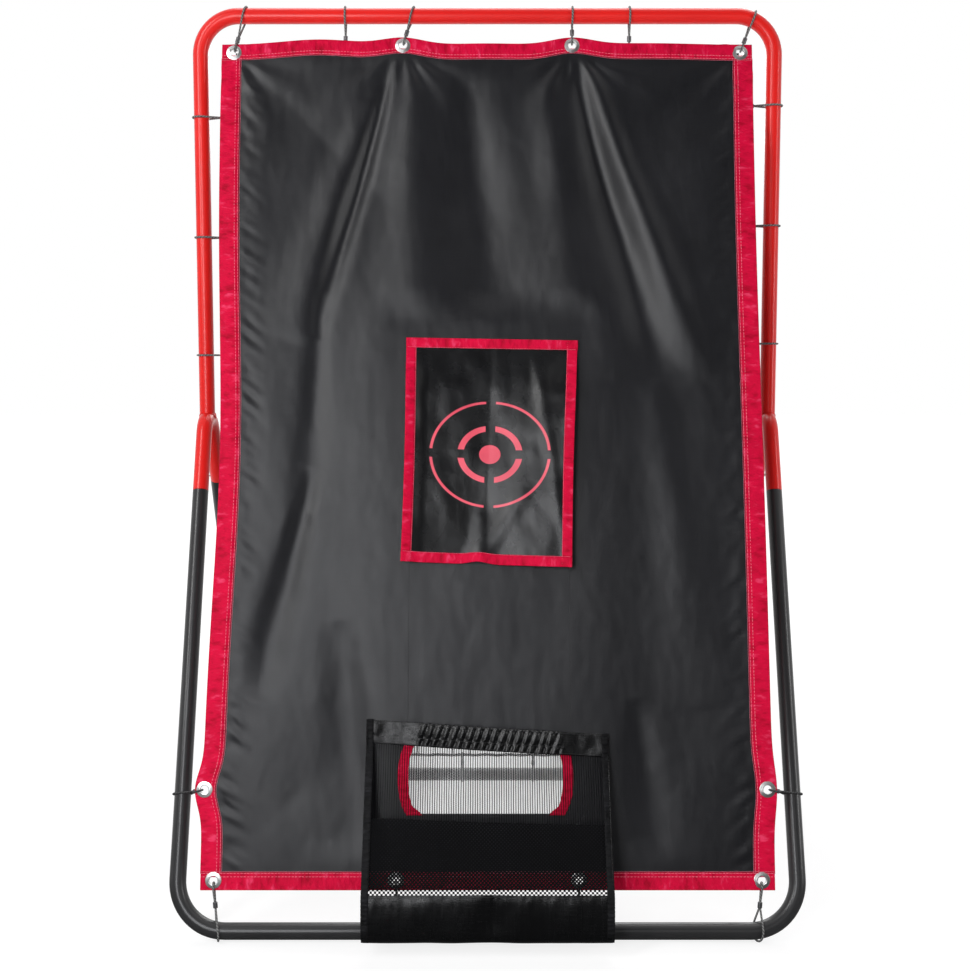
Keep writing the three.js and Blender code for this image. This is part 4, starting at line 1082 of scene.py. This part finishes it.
def bandDrop(u):
    return pocket["top"] + pocket["skew"] * u / pocketHalf


def bandOut(u):
    free = 1 - min((u / (pocketHalf - 40)) ** 2, 1)
    return pocket["seat"] + 2 + pocket["mouth"] * free ** 2


# Places on the band are given by how far down its width they are, from 0 to 1
def bandPlace(u, share):
    low, high = pocket["gather"]
    gathered = smoothStep(u, low, low + 14) * (1 - smoothStep(u, high - 14, high))
    channel = bump(share - 0.36, 0.2)
    slant = u + share * 16
    pleat = 2 * math.pi / pocket["pleat"]
    ruffle = 2.6 * math.sin(slant * pleat + 1.4 * waver(u / 22, 4)) * (1 - 0.35 * channel)
    pinch = 1 - 0.75 * bump(share - 0.08, 0.05) - 0.6 * bump(share - 0.66, 0.05)
    loose = 1.7 * waver(u / 19, share * 1.6, 8)
    out = bandOut(u) + gathered * (ruffle * pinch + 1.2 * channel) + (1 - gathered) * loose * pinch
    scallop = 0.8 * gathered * math.sin(u * pleat)
    return Vector((u, -out, -(bandDrop(u) + share * pocket["band"] + scallop * (1 - share))))


bandEnd = pocketHalf - 1.6
bm = mappedGrid((-bandEnd, bandEnd), (0, pocket["band"]), 260, 20,
                lambda u, down: bandPlace(u, down / pocket["band"]))
clothPiece("pocketBand", bm, "pocketCloth", ["pocket_band"], pocket["cloth"])
seamSpan = (4 - bandEnd, bandEnd - 4)
stitchPiece("pocketBandStitches", [
    threadAlong([bandPlace(u, share) - backward * 0.9 for u in stepped(*span, 1.2)],
                *blackStitch, -backward)
    for share, span in ((0.07, seamSpan), (0.66, pocket["gather"]), (0.93, seamSpan))])


bandLow = pocket["top"] + pocket["band"]
seamOut, seamDrop = pocket["seam"]


def panelPlace(u, drop):
    share = (drop - bandLow) / (seamDrop - bandLow)
    placed = between(bandDrop(u) + pocket["band"] - 1, seamDrop, share)
    out = between(bandOut(u), seamOut, share)
    inside = math.sin(math.pi * share) * (1 - (abs(u) / pocketHalf) ** 6)
    return Vector((u, -(out + 4.0 * waver(u / 90, share * 3, 6) * inside), -placed))


bm = mappedGrid((-bandEnd, bandEnd), (bandLow, seamDrop), 100, 60, panelPlace)
clothPiece("pocketFront", bm, "pocketMesh", ["pocket_mesh"], 0.5)

troughLine = smoothRoute([Vector((out, drop, 0)) for out, drop in (
    (88, 1682), (89, 1700), (86, 1732), (78, 1761), (62, 1771), (38, 1766), (20, 1754), (22, 1736),
    (30, 1716))], 6)


# The base runs under the trough from the front seam: its flat cut is 120 long
baseLength = 120


def basePlace(u, down):
    share = down / baseLength * (len(troughLine) - 1)
    k = min(int(share), len(troughLine) - 2)
    point = troughLine[k].lerp(troughLine[k + 1], share - k)
    end = 1 - (abs(u) / pocketHalf) ** 8
    front = bump(down - 30, 24)
    dent = 3.2 * waver(u / 75, down / 50, 12) * end + 5 * bump(u - 12, 26) * bump(down - 30, 18)
    pinch = 2.5 * bump(u - 10, 3.5) * bump(down - 18, 22)
    return Vector((u, -(point.x - dent * front - pinch),
                   -(point.y - 1.2 * waver(u / 60, 1.5) * end)))


bm = mappedGrid((-bandEnd, bandEnd), (0, baseLength), 150, 60, basePlace)
clothPiece("pocketBase", bm, "pocketCloth", ["pocket_base"], pocket["cloth"])
stitchPiece("pocketSeamStitches", [threadAlong(
    [basePlace(u, 5) - backward * 0.9 for u in stepped(*seamSpan, 1.2)],
    *blackStitch, -backward)])

# Each end is a flat gusset with a folded binding down its front edge
for sideName, side in (("Left", -1), ("Right", 1)):
    u = side * (pocketHalf - 0.7)
    front = [(bandOut(u) + 1.6, bandDrop(u) - 1), (bandOut(u) + 1.8, bandDrop(u) + pocket["band"])]
    front += [(between(front[1][0], seamOut + 1.5, k / 10), between(front[1][1], seamDrop, k / 10))
              for k in range(1, 11)]
    front += [(88.5, 1715), (83, 1748), (72, 1768)]
    back = [(21, 1759), (29, 1716), (2.9, 1686), (2.9, bandDrop(u))]
    gusset = bmesh.new()
    face = gusset.faces.new([gusset.verts.new((out, drop, 0)) for out, drop in front + back])
    bmesh.ops.triangulate(gusset, faces=[face])
    bmesh.ops.subdivide_edges(gusset, edges=gusset.edges, cuts=3, use_grid_fill=True)
    mapFlat(gusset)
    for vert in gusset.verts:
        out, drop = vert.co.x, vert.co.y
        sunk = 2.0 * (0.5 + 0.5 * waver(out / 30, drop / 60, side)) * smoothStep(out, 4, 30)
        vert.co = (u - side * sunk, -out, -drop)
    clothPiece("pocketGusset" + sideName, gusset, "pocketCloth", [],
               pocket["cloth"])
    line = smoothRoute([Vector((out, drop, 0)) for out, drop in front], 8)
    reach = lengthsAlong(line)

    def bindingPlace(along, inset, out, u=u, side=side, line=line, reach=reach):
        k = max(n for n in range(len(reach) - 1) if reach[n] <= along + 1e-6)
        point = line[k].lerp(line[k + 1], (along - reach[k]) / (reach[k + 1] - reach[k]))
        ahead = (line[k + 1] - line[k]).normalized()
        facing = Vector((ahead.y, -ahead.x, 0))
        rib = 0.5 * math.sin(along * 2 * math.pi / 8.0) + 0.6 * waver(along / 9, inset / 6, side)
        # One leaf lies on the gusset, the other across the front
        onGusset = smoothStep(out, -1, 1)
        wide = point + facing * (1.1 + rib * 0.8)
        deep = point - facing * max(inset, 0) * 0.9 + facing * 0.9
        place = wide.lerp(deep, onGusset)
        across = between(u - side * (inset - 0.6), u + side * (0.9 + 0.3 * rib), onGusset)
        # It stays in front of the hung sheet
        return Vector((across, -max(place.x, 1.6), -place.y))

    bm = foldedTape((0, reach[-1]), int(reach[-1] / 1.6), 15, 1.0, bindingPlace)
    clothPiece("pocketBinding" + sideName, bm, "blackTape",
               ["pocket_side_" + sideName.lower()], 0.8)
print("pocket done")


ties = {"radius": 2.0, "gap": 0.3, "crimpLength": 11, "crimpRadius": 4.5, "sides": 10}
# How far each crimp sits from the tube's axis or, for the first two, from the eyelet
crimps = {"top": 29, "side": 28, "foot": 48, "net": 46, "netFoot": 38}


def onBar(turnFromDown, x, length, corner):
    past = max(abs(x) - (halfFrame - corner), 0)
    angle = math.asin(past / corner)
    point = onFrame(turnFromDown, x, length - corner * (1 - math.cos(angle)))
    along = onFrame(turnFromDown, math.cos(angle), -math.copysign(math.sin(angle), x)) - apexPoint
    return point, along


# A cord round a tube at `around` and through an eyelet or round a border at `to`
def tiePiece(node, around, along, to, axis, crimpAt, endLoop, twist=0.0, finish="tieCord"):
    line = (to - around).normalized()
    across = Matrix.Rotation(twist, 3, line) @ along.cross(line).normalized()
    square = along.cross(line).length * math.cos(twist)
    beside = ties["radius"] + 0.05
    radius = (tubes["radius"] + ties["gap"]) / square + ties["radius"]
    mouth = crimpAt - ties["crimpLength"] / 2 - 1

    def at(a, b):
        return around + line * a + across * b

    touch = math.atan2(beside, mouth) + math.acos(radius / math.hypot(mouth, beside))
    arc = [between(touch, 2 * math.pi - touch, k / 30) for k in range(31)]
    near = ([at(crimpAt, beside), at(mouth, beside)]
            + [at(radius * math.cos(angle), radius * math.sin(angle)) for angle in arc]
            + [at(mouth, -beside), at(crimpAt, -beside)])
    front = (axis - line * axis.dot(line)).normalized()
    inCloth = (line - axis * axis.dot(line)).normalized()
    farMouth = 2 * crimpAt - mouth
    far = ([at(reach, 0) + front * beside for reach in (crimpAt, farMouth)]
           + [to - inCloth * back + axis * ahead for back, ahead in endLoop]
           + [at(reach, 0) - front * beside for reach in (farMouth, crimpAt)])
    crimp = bmesh.new()
    bmesh.ops.create_cone(crimp, cap_ends=True, segments=20, radius1=ties["crimpRadius"],
                          radius2=ties["crimpRadius"], depth=ties["crimpLength"])
    upright = [edge for edge in crimp.edges
               if abs(edge.verts[0].co.z - edge.verts[1].co.z) > 1]
    bmesh.ops.subdivide_edges(crimp, cuts=4, edges=upright)
    for vert in crimp.verts:
        vert.co.xy = vert.co.xy * (1 - 0.1 * bump(abs(vert.co.z) - 2.2, 0.9))
    roundEdges(crimp, [edge for edge in crimp.edges if abs(edge.calc_face_angle(0)) > 1.2], 0.5)
    crimp.transform(Matrix.Translation(at(crimpAt, 0))
                    @ line.to_track_quat("Z", "Y").to_matrix().to_4x4())
    cords = joined([cordAlong(near, ties["radius"], ties["sides"]),
                    cordAlong(smoothRoute(far, 5), ties["radius"], ties["sides"])])
    for bm in (cords, crimp):
        bm.transform(millimetres)
        # A cord under the floor bar lies flat on the floor
        for vert in bm.verts:
            vert.co.z = max(vert.co.z, 0.0)
    addPiece("cord." + node, cords, finish, [node], sharp=50)
    addPiece("sleeve." + node, crimp, "crimp", [], sharp=35)


# How a cord's far end lies, as [back along the cloth, out of it] from its eyelet or border
def fullLoop(half):
    return half + [(back, -ahead) for back, ahead in reversed(half[:-1])]


throughEyelet = fullLoop([(21, 5.4), (11.5, 6.2), (5.8, 4.9), (4.2, 0)])
roundHemEdge = [(22.5, -3), (20.2, 4.2), (11.5, 6.2), (5.8, 4.9), (4.2, 0), (6.2, -5), (12, -7.5)]
roundBorder = fullLoop([(1, 5), (-5.4, 4.4), (-8.2, 0)])
outward = (sheetTurn @ Vector((0, -1, 0))).normalized()
eyeletCentres = [Matrix.Translation(sheetOrigin) @ sheetTurn @ hang(*place)
                 for place in grommetPlaces.values()]

for k, x in enumerate((-501, -156, 175, 547)):
    around, along = onBar(upperTurn, x, upperLength, tubes["topCorner"])
    to = eyeletCentres[k]
    tiePiece(f"sheet_tie_top_{k + 1}", around, along, to, outward,
             (to - around).length - crimps["top"], throughEyelet)
for k, side in enumerate(("left", "right")):
    to = eyeletCentres[4 + k]
    down = onFrame(-legTurn, 0, 1) - apexPoint
    reach = (to - apexPoint).dot(down) + 6
    around = onFrame(-legTurn, halfFrame if k else -halfFrame, reach)
    tiePiece(f"sheet_tie_{side}", around, down, to, outward,
             (to - around).length - crimps["side"], roundHemEdge, finish="blackCord")
for k, x in enumerate((-513, -170, 172, 513)):
    around, along = onBar(-legTurn, x, legLength, tubes["footCorner"])
    tiePiece(f"sheet_tie_foot_{k + 1}", around, along, eyeletCentres[6 + k], outward,
             crimps["foot"], throughEyelet, 0.3 if abs(x) > eyelets["inner"] else 0.0)
print("sheet ties done")


net = {
    "width": 1044, "border": 7, "cord": 2.4, "knot": 2.6, "columns": 24, "rows": 42,
    "topGap": 77, "footGap": 62, "knee": 40, "sag": 7, "slack": 5, "step": 14,
}
netHalf = net["width"] / 2
netTopReach = upperLength - net["topGap"]
upperDrop = netTopReach - net["knee"]
kneePoint = onFrame(upperTurn, 0, net["knee"])
lowerLine = onFrame(legTurn, 0, legLength) - kneePoint
netDrop = upperDrop + lowerLine.length - net["footGap"]
lowerLine.normalize()
xAxis = Vector((1, 0, 0))
upperFront = xAxis.cross(onFrame(upperTurn, 0, 1) - apexPoint)
lowerFront = lowerLine.cross(xAxis)


def onNet(x, drop, out=0.0):
    if drop <= upperDrop:
        return onFrame(upperTurn, x, netTopReach - drop) + upperFront * out
    return kneePoint + lowerLine * (drop - upperDrop) + lowerFront * out + xAxis * x


# The knotted cords hang slack between their knots, a little out of line
def netPoint(x, drop):
    free = smoothStep(min(netHalf - abs(x), drop, netDrop - drop), 0, 60)
    return onNet(x + free * net["slack"] * waver(x / 70, drop / 90, 1),
                 drop + free * net["slack"] * waver(x / 80, drop / 70, 5),
                 free * net["sag"] * waver(x / 260, drop / 300, 9))


def kink(along, k):
    return 1.2 * math.sin(along / 6.5 + k)


netEdge = netHalf - net["border"] / 2
across = [between(-netEdge, netEdge, k / net["columns"]) for k in range(1, net["columns"])]
down = [between(0, netDrop, k / net["rows"]) for k in range(1, net["rows"])]
routes = [[netPoint(x + kink(drop, k), drop) for drop in stepped(0, netDrop, net["step"])]
          for k, x in enumerate(across)]
routes += [[netPoint(x, drop + kink(x, k)) for x in stepped(-netEdge, netEdge, net["step"])]
           for k, drop in enumerate(down)]
cords = [cordAlong(route, net["cord"] / 2, 5) for route in routes]
flattened = Matrix.Diagonal((1.15, 0.8, 1, 1))
for x in across:
    for drop in down:
        knot = bmesh.new()
        bmesh.ops.create_icosphere(knot, subdivisions=1, radius=net["knot"],
                                   matrix=Matrix.Translation(netPoint(x, drop)) @ flattened)
        cords.append(knot)
bm = joined(cords)
bm.transform(millimetres)
addPiece("reboundNet", bm, "netCord", ["rebound_net_upper", "rebound_net_lower"])
# The border sags inwards between its knots
rim = []
for corners in (((-netEdge, 0), (netEdge, 0)), ((netEdge, 0), (netEdge, netDrop)),
                ((netEdge, netDrop), (-netEdge, netDrop)), ((-netEdge, netDrop), (-netEdge, 0))):
    (x0, d0), (x1, d1) = corners
    count = int(math.hypot(x1 - x0, d1 - d0) / 12)
    for k in range(count):
        x, drop = between(x0, x1, k / count), between(d0, d1, k / count)
        slack = 2.5 * math.sin(math.pi * ((x + drop) % 58) / 58)
        rim.append(onNet(x * (1 - slack / netHalf) if d0 != d1 else x,
                         drop + (slack if d0 == d1 == 0 else -slack if d0 == d1 else 0)))
bm = cordAlong(rim, net["border"] / 2, 10, closed=True)
bm.transform(millimetres)
addPiece("reboundNetBorder", bm, "netCord")

for k, x in enumerate((-293, 293)):
    around, along = onBar(upperTurn, x, upperLength, tubes["topCorner"])
    tiePiece(f"net_tie_top_{k + 1}", around, along, onNet(x, 0), upperFront, crimps["net"],
             roundBorder)
for k, side in enumerate(("left", "right")):
    sign = 1 if k else -1
    for row, rise in enumerate((63, 308, 554)):
        reach = rise + k * 24
        tiePiece(f"net_tie_{side}_{row + 1}", onFrame(upperTurn, sign * halfFrame, reach),
                 onFrame(upperTurn, 0, 1) - apexPoint, onNet(sign * netEdge, netTopReach - reach),
                 upperFront, crimps["net"], roundBorder)
for k, x in enumerate((-240, -62, 116, 294)):
    around, along = onBar(legTurn, x, legLength, tubes["footCorner"])
    tiePiece(f"net_tie_foot_{k + 1}", around, along, onNet(x, netDrop), lowerFront,
             crimps["netFoot"], roundBorder)
print("net and its ties done")

flatArea = (sheet["width"] * sheet["length"] - flap["hole"][0] * flap["hole"][1]
            - window["cut"] * window["height"])
flatArea * 1e-6


view = {"place": (-4.9, -2792.7, 1192.0), "down": 7.6, "focal": 49.36}
cameraData = bpy.data.cameras.new("camera")
cameraData.lens = view["focal"]
cameraData.sensor_width = 36
camera = bpy.data.objects.new("camera", cameraData)
camera.location = Vector(view["place"]) * 0.001
camera.rotation_euler = (math.radians(90 - view["down"]), 0, 0)
scene.collection.objects.link(camera)
scene.camera = camera

bm = bmesh.new()
bmesh.ops.create_grid(bm, x_segments=1, y_segments=1, size=12)
floorMesh = bpy.data.meshes.new("floor")
bm.to_mesh(floorMesh)
bm.free()
floor = bpy.data.objects.new("floor", floorMesh)
scene.collection.objects.link(floor)
paleFloor = Finish("pale studio floor", Roughness=0.9)
grain = paleFloor.noise(paleFloor.place(), 30, 3).band(0.3, 0.7)
paleFloor.finish(**{"Base Color": paleFloor.mix(grain, (0.80, 0.80, 0.80), (0.83, 0.83, 0.83))})
# The camera sees a white floor with a soft shadow near the object. Gloss sees it dark in front.
toCamera, through, inGloss = paleFloor.rays("Camera", "Transmission", "Glossy")
glow = paleFloor.add("ShaderNodeEmission", None, {"Color": (1, 1, 1), "Strength": 1.15})
dim = paleFloor.add("ShaderNodeEmission", None, {"Color": (1, 1, 1), "Strength": 0.06})
x, y, _ = paleFloor.axes(paleFloor.place())
away = (x * x + y * y).math("SQRT").band(0.9, 2.4)
seen = paleFloor.blendShaders(toCamera.math("MAXIMUM", through) * (0.7 + away * 0.3),
                              Signal(paleFloor, paleFloor.surface.outputs[0]), glow)
mirrored = paleFloor.blendShaders(y.band(-0.5, 0.4), dim, glow)
paleFloor.show(paleFloor.blendShaders(inGloss, seen, mirrored), "Material Output")
floorMesh.materials.append(paleFloor.material)
scene.view_settings.view_transform = "Standard"

world = bpy.data.worlds.new("studio")
scene.world = world
world.use_nodes = True
sky = Graph(world.node_tree)
toCamera, through, inGloss = sky.rays("Camera", "Transmission", "Glossy")
# Gloss shows the white all round, but for the dark side of the studio behind the camera
_, northward, _ = sky.axes(sky.add("ShaderNodeTexCoord"))
behind = sky.add("ShaderNodeMapRange", {"interpolation_type": "SMOOTHSTEP"}, {
    "Value": northward, "From Min": -0.72, "From Max": -0.2, "To Min": 0.02, "To Max": 1.0})
soft, white, mirrored = [
    sky.add("ShaderNodeBackground", None, {"Color": color, "Strength": strength})
    for color, strength in (((0.95, 0.97, 1), 0.2), ((1, 1, 1), 1.0), ((1, 1, 1), behind))]
lit = sky.blendShaders(inGloss, soft, mirrored)
sky.show(sky.blendShaders(toCamera.math("MAXIMUM", through), lit, white), "World Output")


def addLamp(name, place, aim, size, power, color=(1, 1, 1)):
    data = bpy.data.lights.new(name, "AREA")
    data.shape = "RECTANGLE"
    data.size, data.size_y = size
    data.energy = power
    data.color = color
    lamp = bpy.data.objects.new(name, data)
    lamp.location = place
    lamp.rotation_euler = (Vector(aim) - Vector(place)).to_track_quat("-Z", "Y").to_euler()
    scene.collection.objects.link(lamp)


addLamp("keyLeft", (-2.1, -2.2, 2.6), (0.1, -0.1, 1.0), (0.7, 2.2), 56)
addLamp("broadLeft", (-0.98, -3.2, 1.45), (-0.3, -0.3, 0.6), (0.9, 1.6), 44, (0.96, 0.97, 1))
addLamp("broadRight", (0.8, -3.3, 1.4), (0.3, -0.3, 0.6), (1.0, 1.4), 3.5)
addLamp("fillRight", (3.1, -1.3, 1.5), (0, 0, 0.9), (0.6, 2.0), 28)
addLamp("topSoft", (0.2, 1.0, 4.0), (0, 0, 1.0), (2.6, 1.4), 50)
addLamp("backSoft", (0.5, 3.0, 2.6), (0, 0, 0.9), (2.4, 1.6), 60)

print("camera, floor and light done")
